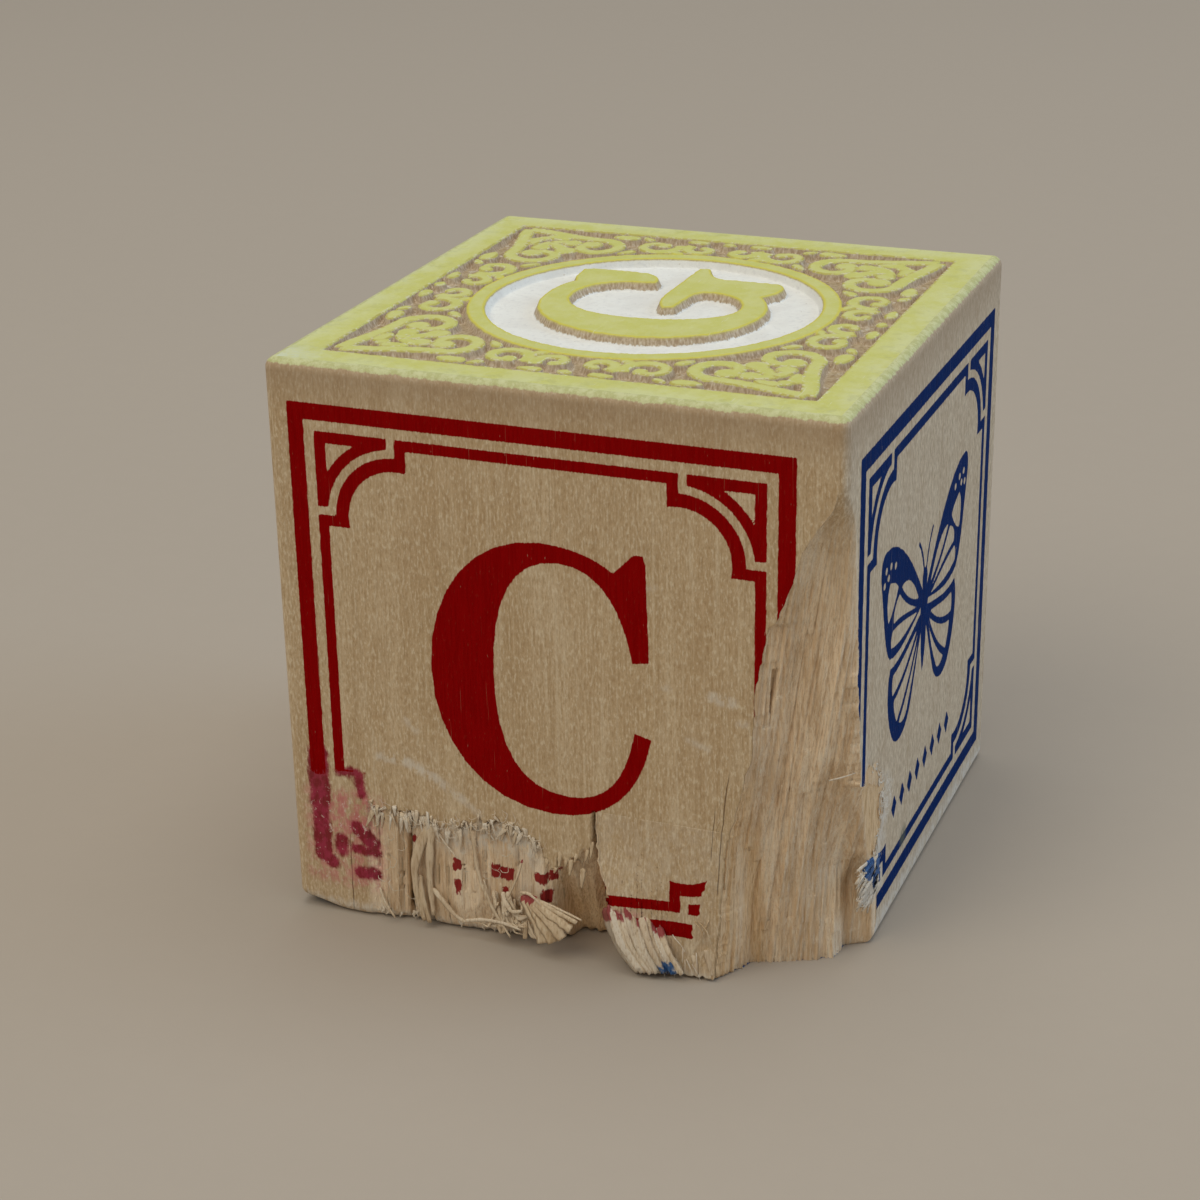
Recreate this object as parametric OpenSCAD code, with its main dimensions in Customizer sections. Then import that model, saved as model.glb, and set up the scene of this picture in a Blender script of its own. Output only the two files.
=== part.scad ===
// Wooden alphabet block: one cube of pale basswood, debossed and painted on both ends,
// printed on its four sides, with a chewed lower front edge and a broken front right edge.
// Origin: centre of the face it rests on. +Z up, the red letter looks to -Y. Millimetres.

/* [Block] */
// Side of the square plan, over the wood
block_w = 44.45; // [30:0.05:90]
// Height, over both painted ends
block_h = 45.3; // [32:0.05:90]
// Radius of the worn edges
edge_r = 1.1; // [0.6:0.1:2]

/* [Debossed ends] */
// Width of the flat frame around the pocket
frame_w = 3.3; // [2.6:0.1:4.5]
// Depth of the pocket
deboss_d = 0.6; // [0.4:0.05:1.2]
// Width of the ring
ring_w = 1.3; // [0.8:0.1:2]
// Width of a scroll stroke
scroll_w = 1.1; // [0.8:0.05:1.3]
// Thickness of the stamped paint
paint_t = 0.08; // [0.05:0.01:0.15]
// Bare rim left beside the frame paint
paint_rim = 0.25; // [0.15:0.05:0.4]

/* [Printed sides] */
// Width of the outer border line
outer_line = 1.3; // [0.8:0.05:1.8]
// Width of the inner border line
inner_line = 0.85; // [0.5:0.05:1.2]
// Bare gap between the border lines
line_gap = 0.8; // [0.5:0.05:1.2]
// Thickness of the printed ink
ink_t = 0.05; // [0.03:0.01:0.1]
// Height of the printed capital letter
letter_h = 21.7; // [15:0.1:24]
// Gap between the inner border and the butterfly's wing tips
wing_gap = 3.75; // [2:0.05:6]
// Height of the printed number
number_h = 20; // [14:0.1:24]
// Height of the printed leaf
leaf_h = 21; // [14:0.1:24]
// Shift of the front print, sideways
front_shift_x = -0.9; // [-1.2:0.1:1.2]
// Shift of the front print, up
front_shift_z = 0.1; // [-1.2:0.1:1.2]
// Shift of the right print, back
right_shift_y = 0.4; // [-1.2:0.1:1.2]
// Shift of the right print, up
right_shift_z = -0.7; // [-1.2:0.1:1.2]

/* [Torn wood] */
// How far the split behind the torn front flap runs up into the printed letter
flap_over = 0.2; // [0:0.05:0.5]
// Depth of that split at the bottom
flap_d = 2.4; // [1.6:0.1:3]
// How far the bent foot of the flap stands out
flap_foot = 0.6; // [0.3:0.1:1]
// Thickness of a chewed splinter
splinter_t = 0.5; // [0.3:0.05:0.8]
// How far the splinters stand out at most
splinter_out = 1.5; // [1:0.1:2.5]

/* [Hidden] */

half = block_w / 2;
mid_h = block_h / 2;
pocket_w = block_w - 2 * frame_w;
pocket_half = pocket_w / 2;
// Ring in the pocket, and the letter in the ring, as shares of the half pocket and of the ring's bore
ring_share = 0.761;
ring_letter_share = 0.687;
ring_r = pocket_half * ring_share;
deboss_letter_h = 2 * (ring_r - ring_w) * ring_letter_share;
// The print follows the face that carries it
print_w_share = 0.8774;
print_h_share = 0.8609;
print_w = block_w * print_w_share;
print_h = block_h * print_h_share;
notch_share = 0.1667;
notch_step_share = 0.226;
notch_w = print_w * notch_share;
notch_step = notch_w * notch_step_share;
// Side of the inner border's outer edge
inner_box_w = print_w - 2 * (outer_line + line_gap);
butterfly_w = inner_box_w - 2 * (inner_line + wing_gap);
// The split ends just inside the letter's lower edge
flap_h = mid_h + front_shift_z - letter_h / 2 + flap_over;
big = 2 * block_w;
// How far a cutting shape runs out past the wood
past = block_w / 10;
curve_steps = 8;
spiral_steps = 18;
round_fn = 48;

wood = [0.80, 0.67, 0.47];
torn = [0.88, 0.78, 0.60];
red = [0.55, 0.03, 0.04];
blue = [0.07, 0.16, 0.42];
yellow = [0.78, 0.78, 0.33];
white = [0.88, 0.88, 0.86];

// Broken upright edge, one row per level:
// [height, front reach, three points of the break [in from left, in from front], right reach]
// as shares of the block's height and width.
scar_shares = [
    [-0.05, 0.780, [0.808, 0.074], [0.896, 0.098], [0.945, 0.170], 0.222],
    [0.00, 0.783, [0.812, 0.072], [0.896, 0.095], [0.945, 0.166], 0.220],
    [0.17, 0.797, [0.838, 0.064], [0.904, 0.094], [0.954, 0.168], 0.236],
    [0.28, 0.805, [0.843, 0.052], [0.906, 0.080], [0.963, 0.120], 0.170],
    [0.40, 0.821, [0.858, 0.036], [0.912, 0.064], [0.968, 0.088], 0.104],
    [0.53, 0.853, [0.889, 0.030], [0.930, 0.052], [0.973, 0.066], 0.082],
    [0.66, 0.893, [0.919, 0.022], [0.948, 0.038], [0.978, 0.052], 0.065],
    [0.77, 0.927, [0.944, 0.018], [0.962, 0.030], [0.983, 0.044], 0.062],
    [0.86, 0.965, [0.970, 0.010], [0.978, 0.015], [0.988, 0.022], 0.030]
];
// Chewed lower front edge, one row per station:
// [in from left, height, depth at the bottom] as shares of the width, height and width.
chew_shares = [
    [0.145, 0.010, 0.002], [0.190, 0.040, 0.007], [0.216, 0.055, 0.016], [0.300, 0.060, 0.009],
    [0.365, 0.068, 0.018], [0.450, 0.080, 0.030], [0.505, 0.100, 0.045], [0.518, 0.165, 0.058],
    [0.545, 0.195, 0.076], [0.576, 0.200, 0.088]
];
// Splinters of the chewed edge:
// [root in from left, root height, tip in from left, tip height, stand-out, width]
// as shares of the width, the height, the width, the height, splinter_out and the width.
splinter_shares = [
    [0.232, 0.160, 0.255, 0.020, 0.45, 0.020],
    [0.258, 0.170, 0.262, 0.030, 0.55, 0.022],
    [0.285, 0.120, 0.320, 0.018, 0.50, 0.012],
    [0.180, 0.060, 0.210, 0.012, 0.30, 0.012],
    [0.345, 0.175, 0.412, 0.016, 0.70, 0.014],
    [0.388, 0.110, 0.430, 0.050, 0.60, 0.012],
    [0.415, 0.130, 0.390, 0.055, 0.60, 0.012],
    [0.432, 0.105, 0.465, 0.022, 0.85, 0.026],
    [0.450, 0.100, 0.515, 0.030, 1.00, 0.030],
    [0.470, 0.100, 0.535, 0.045, 0.90, 0.018]
];
// Left edge of the torn flap from its root down: [in from left, height] as shares
// of the block's width and the flap's height.
flap_edge_shares = [[0.576, 1.000], [0.580, 0.603], [0.588, 0.389], [0.606, 0.213],
    [0.630, 0.067], [0.655, 0.004]];
flap_right_share = 0.790;

// Outlines are lists of corners [x, y] and curves [handle, handle, end], as shares of the height.
letter_c_shares = [[0.75, 1.00], [0.78, 1.00], [0.79, 0.97], [0.80, 0.62], [0.74, 0.61],
    [[0.71, 0.78], [0.64, 0.935], [0.48, 0.935]],
    [[0.31, 0.935], [0.235, 0.77], [0.235, 0.50]],
    [[0.235, 0.22], [0.32, 0.076], [0.50, 0.076]],
    [[0.64, 0.076], [0.71, 0.17], [0.745, 0.355]],
    [0.805, 0.34],
    [[0.765, 0.12], [0.64, 0.00], [0.44, 0.00]],
    [[0.17, 0.00], [0.00, 0.22], [0.00, 0.49]],
    [[0.00, 0.79], [0.18, 1.00], [0.415, 1.00]],
    [[0.52, 1.00], [0.62, 0.97], [0.675, 0.925]]];
letter_c_width_share = 0.805;
letter_g_shares = [[0.79, 0.98], [0.91, 0.99], [0.93, 0.93], [0.925, 0.69],
    [[0.90, 0.63], [0.85, 0.61], [0.80, 0.61]],
    [0.785, 0.66],
    [[0.78, 0.81], [0.68, 0.895], [0.53, 0.895]],
    [[0.37, 0.895], [0.255, 0.745], [0.255, 0.545]],
    [[0.255, 0.335], [0.345, 0.12], [0.495, 0.12]],
    [[0.62, 0.12], [0.705, 0.19], [0.72, 0.29]],
    [[0.73, 0.365], [0.69, 0.395], [0.60, 0.395]],
    [0.465, 0.405], [0.445, 0.445],
    [[0.49, 0.485], [0.565, 0.50], [0.645, 0.50]],
    [1.065, 0.495], [1.07, 0.45],
    [[1.01, 0.42], [0.935, 0.40], [0.93, 0.335]],
    [0.93, 0.095],
    [[0.92, 0.035], [0.83, 0.03], [0.79, 0.05]],
    [0.715, 0.09],
    [[0.64, 0.035], [0.545, 0.00], [0.455, 0.00]],
    [[0.18, 0.00], [0.00, 0.20], [0.00, 0.465]],
    [[0.00, 0.765], [0.20, 1.00], [0.49, 1.00]],
    [[0.59, 1.00], [0.665, 0.985], [0.72, 0.955]]];
letter_g_width_share = 0.97;
letter_h_shares = [[0.00, 0.00], [0.40, 0.00], [0.40, 0.05], [0.30, 0.08], [0.30, 0.45],
    [0.62, 0.45], [0.62, 0.08], [0.52, 0.05], [0.52, 0.00], [0.92, 0.00], [0.92, 0.05],
    [0.82, 0.08], [0.82, 0.92], [0.92, 0.95], [0.92, 1.00], [0.52, 1.00], [0.52, 0.95],
    [0.62, 0.92], [0.62, 0.56], [0.30, 0.56], [0.30, 0.92], [0.40, 0.95], [0.40, 1.00],
    [0.00, 1.00], [0.00, 0.95], [0.10, 0.92], [0.10, 0.08], [0.00, 0.05]];
letter_h_width_share = 0.92;
number_7_shares = [[0.00, 0.70], [0.06, 0.70],
    [[0.09, 0.80], [0.15, 0.83], [0.26, 0.83]],
    [0.46, 0.83],
    [[0.32, 0.60], [0.17, 0.36], [0.16, 0.00]],
    [0.37, 0.00],
    [[0.37, 0.34], [0.48, 0.64], [0.62, 0.90]],
    [0.62, 1.00], [0.06, 1.00], [0.02, 1.00]];
number_7_width_share = 0.62;

// Half of the butterfly, to the right of its body, as shares of the whole span.
forewing_shares = [[0.012, 0.03],
    [[0.10, 0.13], [0.28, 0.33], [0.45, 0.325]],
    [[0.50, 0.325], [0.51, 0.28], [0.49, 0.22]],
    [[0.46, 0.12], [0.44, 0.00], [0.385, -0.035]],
    [[0.28, -0.07], [0.14, -0.03], [0.012, 0.00]]];
forewing_cell_shares = [
    [[0.07, 0.035], [[0.12, 0.05], [0.20, 0.08], [0.27, 0.15]], [[0.20, 0.16], [0.13, 0.12], [0.07, 0.035]]],
    [[0.09, 0.015], [[0.17, 0.03], [0.25, 0.06], [0.35, 0.065]], [[0.36, 0.10], [0.33, 0.125], [0.29, 0.135]],
        [[0.23, 0.08], [0.16, 0.045], [0.09, 0.015]]],
    [[0.08, -0.005], [[0.18, -0.02], [0.28, -0.03], [0.37, -0.005]], [[0.38, 0.02], [0.37, 0.04], [0.355, 0.045]],
        [[0.27, 0.04], [0.17, 0.015], [0.08, -0.005]]],
    [[0.31, 0.165], [[0.34, 0.13], [0.37, 0.10], [0.41, 0.09]], [[0.43, 0.14], [0.43, 0.18], [0.40, 0.21]],
        [[0.37, 0.20], [0.33, 0.19], [0.31, 0.165]]]];
forewing_spot_shares = [[0.345, 0.245], [0.395, 0.262], [0.445, 0.265], [0.42, 0.235], [0.462, 0.225]];
hindwing_shares = [[0.012, -0.02],
    [[0.14, -0.05], [0.28, -0.09], [0.375, -0.07]],
    [[0.42, -0.13], [0.39, -0.26], [0.32, -0.325]],
    [[0.26, -0.37], [0.17, -0.35], [0.13, -0.28]],
    [[0.09, -0.21], [0.05, -0.12], [0.012, -0.06]]];
hindwing_cell_shares = [
    [[0.08, -0.065], [[0.17, -0.08], [0.25, -0.105], [0.34, -0.105]], [[0.35, -0.135], [0.35, -0.155], [0.34, -0.17]],
        [[0.25, -0.165], [0.15, -0.12], [0.08, -0.065]]],
    [[0.07, -0.085], [[0.14, -0.13], [0.22, -0.18], [0.325, -0.195]], [[0.32, -0.23], [0.30, -0.26], [0.285, -0.275]],
        [[0.20, -0.23], [0.12, -0.16], [0.07, -0.085]]],
    [[0.06, -0.105], [[0.11, -0.17], [0.18, -0.245], [0.26, -0.29]], [[0.22, -0.315], [0.18, -0.305], [0.165, -0.275]],
        [[0.12, -0.22], [0.09, -0.16], [0.06, -0.105]]]];
body_shares = [[0.00, 0.11],
    [[0.03, 0.11], [0.035, 0.07], [0.025, 0.05]],
    [[0.05, 0.02], [0.045, -0.03], [0.03, -0.05]],
    [[0.035, -0.13], [0.02, -0.20], [0.00, -0.235]]];
feeler_shares = [[[0.012, 0.10], [0.03, 0.16], [0.06, 0.20], [0.085, 0.215]]];
leaf_half_shares = [[0.00, 1.00],
    [[0.10, 0.86], [0.34, 0.74], [0.34, 0.50]],
    [[0.34, 0.34], [0.18, 0.24], [0.03, 0.20]],
    [0.02, 0.00], [0.00, 0.00]];
leaf_vein_shares = [0.34, 0.46, 0.58, 0.70];

// Points of a cubic curve, without its first point.
function curve(a, b, c, d, n = curve_steps) = [for (i = [1:n])
    let (t = i / n, s = 1 - t)
    s * s * s * a + 3 * s * s * t * b + 3 * s * t * t * c + t * t * t * d];
// Last point of an outline item.
function item_end(item) = is_list(item[0]) ? item[2] : item;
// Points of an outline made of corners and curves.
function outline(items) = [for (i = [0:len(items) - 1])
    each is_list(items[i][0])
        ? curve(item_end(items[i - 1]), items[i][0], items[i][1], items[i][2])
        : [items[i]]];
// The same outline seen in a mirror, to close a half into a whole.
function mirrored(points) = [for (i = [len(points) - 1:-1:0]) [-points[i][0], points[i][1]]];
// Path of a spiral about a centre.
function spiral(centre, r_start, r_end, a_start, a_end, n = spiral_steps) = [for (i = [0:n])
    let (t = i / n, r = r_start + (r_end - r_start) * t, a = a_start + (a_end - a_start) * t)
    centre + r * [cos(a), sin(a)]];
function unit(v) = v / norm(v);
// Sideways direction of a path at its point i.
function side_of(path, i) =
    let (d = unit(path[min(i + 1, len(path) - 1)] - path[max(i - 1, 0)])) [-d[1], d[0]];
// Outline of a stroke along a path whose width runs from w0 to w1.
function stroke(path, w0, w1) = let (last = len(path) - 1) concat(
    [for (i = [0:last]) path[i] + side_of(path, i) * (w0 + (w1 - w0) * i / last) / 2],
    [for (i = [last:-1:0]) path[i] - side_of(path, i) * (w0 + (w1 - w0) * i / last) / 2]);

// ---- flat shapes ----

// Square with worn corners, as a flat outline.
module worn_square(w, h, r) {
    corners = [[w / 2 - r, h / 2 - r, 0], [r - w / 2, h / 2 - r, 90],
        [r - w / 2, r - h / 2, 180], [w / 2 - r, r - h / 2, 270]];
    polygon([for (c = corners, i = [0:curve_steps / 2])
        let (a = c[2] + 90 * i / (curve_steps / 2))
        [c[0] + r * cos(a), c[1] + r * sin(a)]]);
}

// One half of the heart scroll in the pocket's corner, which lies at the origin.
heart_tip_share = 0.07;
lobe_x_share = 0.445;
lobe_y_share = 0.250;
lobe_r_share = 0.120;
lobe_eye_share = 0.045;
ball_share = 0.042;
thin_stroke_share = 0.8;
module heart_half() {
    tip = pocket_half * [heart_tip_share, heart_tip_share];
    lobe = pocket_half * [lobe_x_share, lobe_y_share];
    lobe_r = pocket_half * lobe_r_share;
    foot = lobe - [0, lobe_r];
    path = concat([tip],
        curve(tip, [lobe[0] / 3, tip[1]], [2 * lobe[0] / 3, foot[1]], foot),
        spiral(lobe, lobe_r, pocket_half * lobe_eye_share, -80, 230));
    polygon(stroke(path, scroll_w, scroll_w * thin_stroke_share));
    translate(path[len(path) - 1])
        circle(r = pocket_half * ball_share, $fn = round_fn);
}

// Small leaf inside the heart.
leaf_root_share = 0.150;
leaf_tip_x_share = 0.300;
leaf_tip_y_share = 0.205;
leaf_stroke_shares = [0.7, 0.9];
module heart_leaf() {
    root = pocket_half * [leaf_root_share, leaf_root_share];
    tip = pocket_half * [leaf_tip_x_share, leaf_tip_y_share];
    polygon(stroke(concat([root], curve(root, [root[0] + scroll_w, root[1]],
        [tip[0] - scroll_w, tip[1]], tip)),
        scroll_w * leaf_stroke_shares[0], scroll_w * leaf_stroke_shares[1]));
    translate(tip)
        circle(r = pocket_half * ball_share, $fn = round_fn);
}

module heart() {
    for (flip = [0, 1])
        mirror([flip, -flip, 0]) {
            heart_half();
            heart_leaf();
        }
}

// Curls along one side of the pocket, whose edge runs along y = 0.
side_curl_shares = [[0.00, 0.125, 0.088, -60, 260], [0.235, 0.150, 0.098, 200, -150],
    [-0.235, 0.150, 0.098, -20, 330]];
side_bud_shares = [[0.118, 0.056], [-0.118, 0.056], [0.375, 0.056], [-0.375, 0.056]];
bud_share = 0.052;
curl_stroke_shares = [0.9, 0.6];
curl_eye_share = 0.35;
module side_curls() {
    for (c = side_curl_shares) {
        path = spiral(pocket_half * [c[0], c[1]], pocket_half * c[2],
            pocket_half * c[2] * curl_eye_share, c[3], c[4]);
        polygon(stroke(path, scroll_w * curl_stroke_shares[0], scroll_w * curl_stroke_shares[1]));
    }
    for (b = side_bud_shares)
        translate(pocket_half * b)
            circle(r = pocket_half * bud_share, $fn = round_fn);
}

module scroll_2d() {
    for (turn = [0:90:270])
        rotate(turn) {
            translate([-pocket_half, -pocket_half])
                heart();
            translate([0, -pocket_half])
                side_curls();
        }
}

module ring_2d() {
    difference() {
        circle(r = ring_r, $fn = round_fn * 2);
        circle(r = ring_r - ring_w, $fn = round_fn * 2);
    }
}

// A debossed letter, centred in the ring and lying on its side as stamped.
module letter_g_2d() {
    rotate(90)
        translate(-deboss_letter_h / 2 * [letter_g_width_share, 1])
            polygon(deboss_letter_h * outline(letter_g_shares));
}

module letter_h_2d() {
    translate(-deboss_letter_h / 2 * [letter_h_width_share, 1])
        polygon(deboss_letter_h * outline(letter_h_shares));
}

module frame_paint_2d() {
    difference() {
        square(block_w - 2 * (edge_r + paint_rim), center = true);
        square(pocket_w + 2 * paint_rim, center = true);
    }
}

// Artwork drawn for a square print, fitted to the height of the face.
module to_face() {
    scale([1, print_h / print_w])
        children();
}

module outer_border_2d() {
    to_face()
        difference() {
            square(print_w, center = true);
            square(print_w - 2 * outer_line, center = true);
        }
}

// Panel with a square notch and a quarter arc at each corner, let in by an amount.
module notched_panel_2d(inset) {
    w = inner_box_w - 2 * inset;
    arc_r = notch_w - notch_step - inset;
    arc_c = inner_box_w / 2 - notch_w;
    difference() {
        square(w, center = true);
        for (sx = [-1, 1], sy = [-1, 1])
            translate([sx * (w / 2 - notch_w / 2 + past / 2), sy * (w / 2 - notch_w / 2 + past / 2)])
                square(notch_w + past, center = true);
    }
    intersection() {
        square(w, center = true);
        for (sx = [-1, 1], sy = [-1, 1])
            translate([sx * arc_c, sy * arc_c])
                circle(r = arc_r, $fn = round_fn);
    }
}

module inner_border_2d() {
    to_face()
        difference() {
            notched_panel_2d(0);
            notched_panel_2d(inner_line);
        }
}

// Hollow triangles with one curved side, in the corners outside the inner border.
corner_gap_share = 0.78;
module corner_2d() {
    gap = line_gap * corner_gap_share;
    reach = notch_w - gap;
    arc_r = notch_w - notch_step + gap;
    arc_c = -notch_w * [1, 1];
    difference() {
        translate([-reach, -reach])
            square(reach);
        translate(arc_c)
            circle(r = arc_r, $fn = round_fn);
        difference() {
            translate([-reach, -reach])
                square(reach - inner_line);
            translate(arc_c)
                circle(r = arc_r + inner_line, $fn = round_fn);
        }
    }
}

module corners_2d() {
    to_face()
        for (sx = [0, 1], sy = [0, 1])
            mirror([sx, 0]) mirror([0, sy])
                translate([inner_box_w / 2, inner_box_w / 2])
                    corner_2d();
}

module letter_c_2d() {
    translate(-letter_h / 2 * [letter_c_width_share, 1])
        polygon(letter_h * outline(letter_c_shares));
}

module number_7_2d() {
    translate(-number_h / 2 * [number_7_width_share, 1])
        polygon(number_h * outline(number_7_shares));
}

// Small spots in the tip of the forewing and the width of a drawn line.
spot_share = 0.011;
feeler_w_share = 0.014;
module butterfly_2d() {
    for (side = [0, 1])
        mirror([side, 0]) {
            difference() {
                polygon(butterfly_w * outline(forewing_shares));
                for (cell = forewing_cell_shares)
                    polygon(butterfly_w * outline(cell));
                for (spot = forewing_spot_shares)
                    translate(butterfly_w * spot)
                        circle(r = butterfly_w * spot_share, $fn = round_fn / 2);
            }
            difference() {
                polygon(butterfly_w * outline(hindwing_shares));
                for (cell = hindwing_cell_shares)
                    polygon(butterfly_w * outline(cell));
            }
            for (f = feeler_shares)
                polygon(butterfly_w * stroke(concat([f[0]], curve(f[0], f[1], f[2], f[3])),
                    feeler_w_share, feeler_w_share));
        }
    body = outline(body_shares);
    polygon(butterfly_w * concat(body, mirrored(body)));
}

// Row of small plain lozenges under the picture.
lozenge_w = print_w / 26;
lozenge_step = print_w / 17;
lozenge_count = 8;
lozenge_tall_share = 1.4;
module lozenges_2d() {
    for (i = [0:lozenge_count - 1])
        translate([(i - (lozenge_count - 1) / 2) * lozenge_step, 0])
            polygon(lozenge_w / 2
                * [[1, 0], [0, lozenge_tall_share], [-1, 0], [0, -lozenge_tall_share]]);
}

vein_w_share = 0.022;
vein_run_share = 0.21;
vein_end_share = 1.1;
module leaf_2d() {
    translate([0, -leaf_h / 2])
        difference() {
            half_leaf = outline(leaf_half_shares);
            polygon(leaf_h * concat(half_leaf, mirrored(half_leaf)));
            for (side = [-1, 1], v = leaf_vein_shares)
                polygon(leaf_h * stroke([[side * vein_w_share, v],
                    [side * (vein_w_share + vein_run_share * (vein_end_share - v)),
                    v + vein_run_share / 2]],
                    vein_w_share, vein_w_share));
        }
}

// ---- wood ----

// Ring of points of the break at one level, from the right face round to the front face.
function scar_ring(row) = let (z = row[0] * block_h) concat(
    [[half + past, row[5] * block_w - half, z], [half, row[5] * block_w - half, z]],
    [for (p = [row[4], row[3], row[2]]) [p[0] * block_w - half, p[1] * block_w - half, z]],
    [[row[1] * block_w - half, -half, z], [row[1] * block_w - half, -half - past, z],
        [half + past, -half - past, z]]);
// Profile of the bite at one station.
function chew_ring(row) = let (x = row[0] * block_w - half) [
    [x, -half - past, -past], [x, -half + row[2] * block_w, -past],
    [x, -half + row[2] * block_w, 0],
    [x, -half, row[1] * block_h], [x, -half - past, row[1] * block_h]];
// Faces of a skin over equal rings, each end closed by a fan about its last point.
function ring_faces(rows, n) = let (top = (rows - 1) * n) concat(
    [for (i = [0:n - 3]) [n - 1, i, i + 1]],
    [for (r = [0:rows - 2], i = [0:n - 1]) each
        let (a = r * n + i, b = r * n + (i + 1) % n) [[a, a + n, b], [b, a + n, b + n]]],
    [for (i = [0:n - 3]) [top + n - 1, top + i + 1, top + i]]);

module scar() {
    rings = [for (row = scar_shares) scar_ring(row)];
    polyhedron([for (r = rings) each r], ring_faces(len(rings), len(rings[0])));
}

module chew() {
    rings = [for (row = chew_shares) chew_ring(row)];
    polyhedron([for (r = rings) each r], ring_faces(len(rings), len(rings[0])));
}

chew_end = chew_shares[len(chew_shares) - 1][0] * block_w - half;
flap_right = flap_right_share * block_w - half;

// Wedge that the flap has split away from.
module flap_wedge(front) {
    translate([chew_end, -half, 0])
        rotate([90, 0, 90])
            linear_extrude(flap_right - chew_end)
                polygon([[-front, flap_h], [0, flap_h], [flap_d, 0], [flap_d, -front], [-front, -front]]);
}

// Block without its debossed ends.
module block_body() {
    difference() {
        intersection() {
            linear_extrude(block_h)
                worn_square(block_w, block_w, edge_r);
            translate([0, half, mid_h])
                rotate([90, 0, 0])
                    linear_extrude(block_w)
                        worn_square(block_w, block_h, edge_r);
            translate([-half, 0, mid_h])
                rotate([90, 0, 90])
                    linear_extrude(block_w)
                        worn_square(block_w, block_h, edge_r);
        }
        scar();
        chew();
        flap_wedge(past);
    }
}

// Everything that is let into one end, with that end's plane at z = 0 and the wood below it.
module end_cut() {
    translate([0, 0, -paint_t]) {
        linear_extrude(past)
            frame_paint_2d();
        linear_extrude(past)
            square(pocket_w, center = true);
    }
    translate([0, 0, -deboss_d])
        linear_extrude(past)
            difference() {
                square(pocket_w, center = true);
                scroll_2d();
                ring_2d();
                children();
            }
}

module on_top() {
    translate([0, 0, block_h])
        children();
}

module on_bottom() {
    rotate([180, 0, 0])
        children();
}

module wood_block() {
    color(wood)
        difference() {
            block_body();
            on_top()
                end_cut()
                    letter_g_2d();
            on_bottom()
                end_cut()
                    letter_h_2d();
        }
}

// Foot of the flap, bent out, below the print.
foot_shares = [0.26, 0.18, 0.07, 0.01];
module front_flap() {
    color(torn)
        difference() {
            intersection() {
                translate([0, -half, 0])
                    rotate([90, 0, 0])
                        translate([0, 0, -big / 2])
                            linear_extrude(big)
                                polygon(concat(
                                    [for (p = flap_edge_shares) [p[0] * block_w - half, p[1] * flap_h]],
                                    [[flap_right, 0], [flap_right, flap_h]]));
                translate([chew_end, -half, 0])
                    rotate([90, 0, 90])
                        linear_extrude(flap_right - chew_end)
                            polygon([[0, flap_h], [flap_d, 0], [0, 0],
                                [-flap_foot / 2, foot_shares[3] * flap_h],
                                [-flap_foot, foot_shares[2] * flap_h],
                                [-flap_foot / 2, foot_shares[1] * flap_h],
                                [0, foot_shares[0] * flap_h]]);
            }
            scar();
        }
}

module splinter(row) {
    root = [row[0] * block_w - half, -half, row[1] * block_h];
    tip = [row[2] * block_w - half, -half - row[4] * splinter_out, row[3] * block_h];
    reach = tip - root;
    turn = atan2(reach[1], reach[0]);
    tilt = acos(reach[2] / norm(reach));
    translate(root)
        rotate([0, tilt, turn])
            rotate(-turn)
                translate([-row[5] * block_w / 2, -splinter_t / 2, -splinter_t])
                    cube([row[5] * block_w, splinter_t, norm(reach) + splinter_t]);
}

module front_splinters() {
    color(torn)
        intersection() {
            for (row = splinter_shares)
                splinter(row);
            translate([-half, -half - big, splinter_t / 4])
                cube([block_w, big, block_h]);
        }
}

// Frayed sliver of the right face, bent out over the break.
side_flap_root_shares = [0.27, 0.115];
side_flap_tip_shares = [0.06, 0.195];
side_flap_h_share = 0.055;
side_flap_t_share = 0.024;
module side_flap() {
    root = [half, side_flap_root_shares[0] * block_w - half, side_flap_root_shares[1] * block_h];
    tip = [half - past / 2, side_flap_tip_shares[0] * block_w - half, side_flap_tip_shares[1] * block_h];
    reach = tip - root;
    run = norm([reach[0], reach[1]]);
    thick = side_flap_t_share * block_w;
    tall = side_flap_h_share * block_h;
    color(torn)
        intersection() {
            translate(root)
                rotate([0, 0, atan2(reach[1], reach[0])])
                    rotate([0, -atan2(reach[2], run), 0])
                        translate([0, -thick / 2, -tall / 2])
                            cube([norm(reach), thick, tall]);
            scar();
            translate([-half, -half, 0])
                cube([block_w, block_w, block_h]);
        }
}

// ---- paint on the debossed ends ----

module painted(depth, tint) {
    color(tint)
        translate([0, 0, -depth])
            linear_extrude(paint_t)
                children();
}

module frame_paint(tint) {
    painted(paint_t, tint)
        frame_paint_2d();
}

module disc_paint(tint) {
    painted(deboss_d, tint)
        difference() {
            circle(r = ring_r - ring_w, $fn = round_fn * 2);
            children();
        }
}

module top_frame_paint() {
    on_top() frame_paint(yellow);
}

module top_scroll_paint() {
    on_top() painted(paint_t, yellow) scroll_2d();
}

module top_ring_paint() {
    on_top() painted(paint_t, yellow) ring_2d();
}

module top_letter_paint() {
    on_top() painted(paint_t, yellow) letter_g_2d();
}

module top_disc_paint() {
    on_top() disc_paint(white) letter_g_2d();
}

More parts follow.
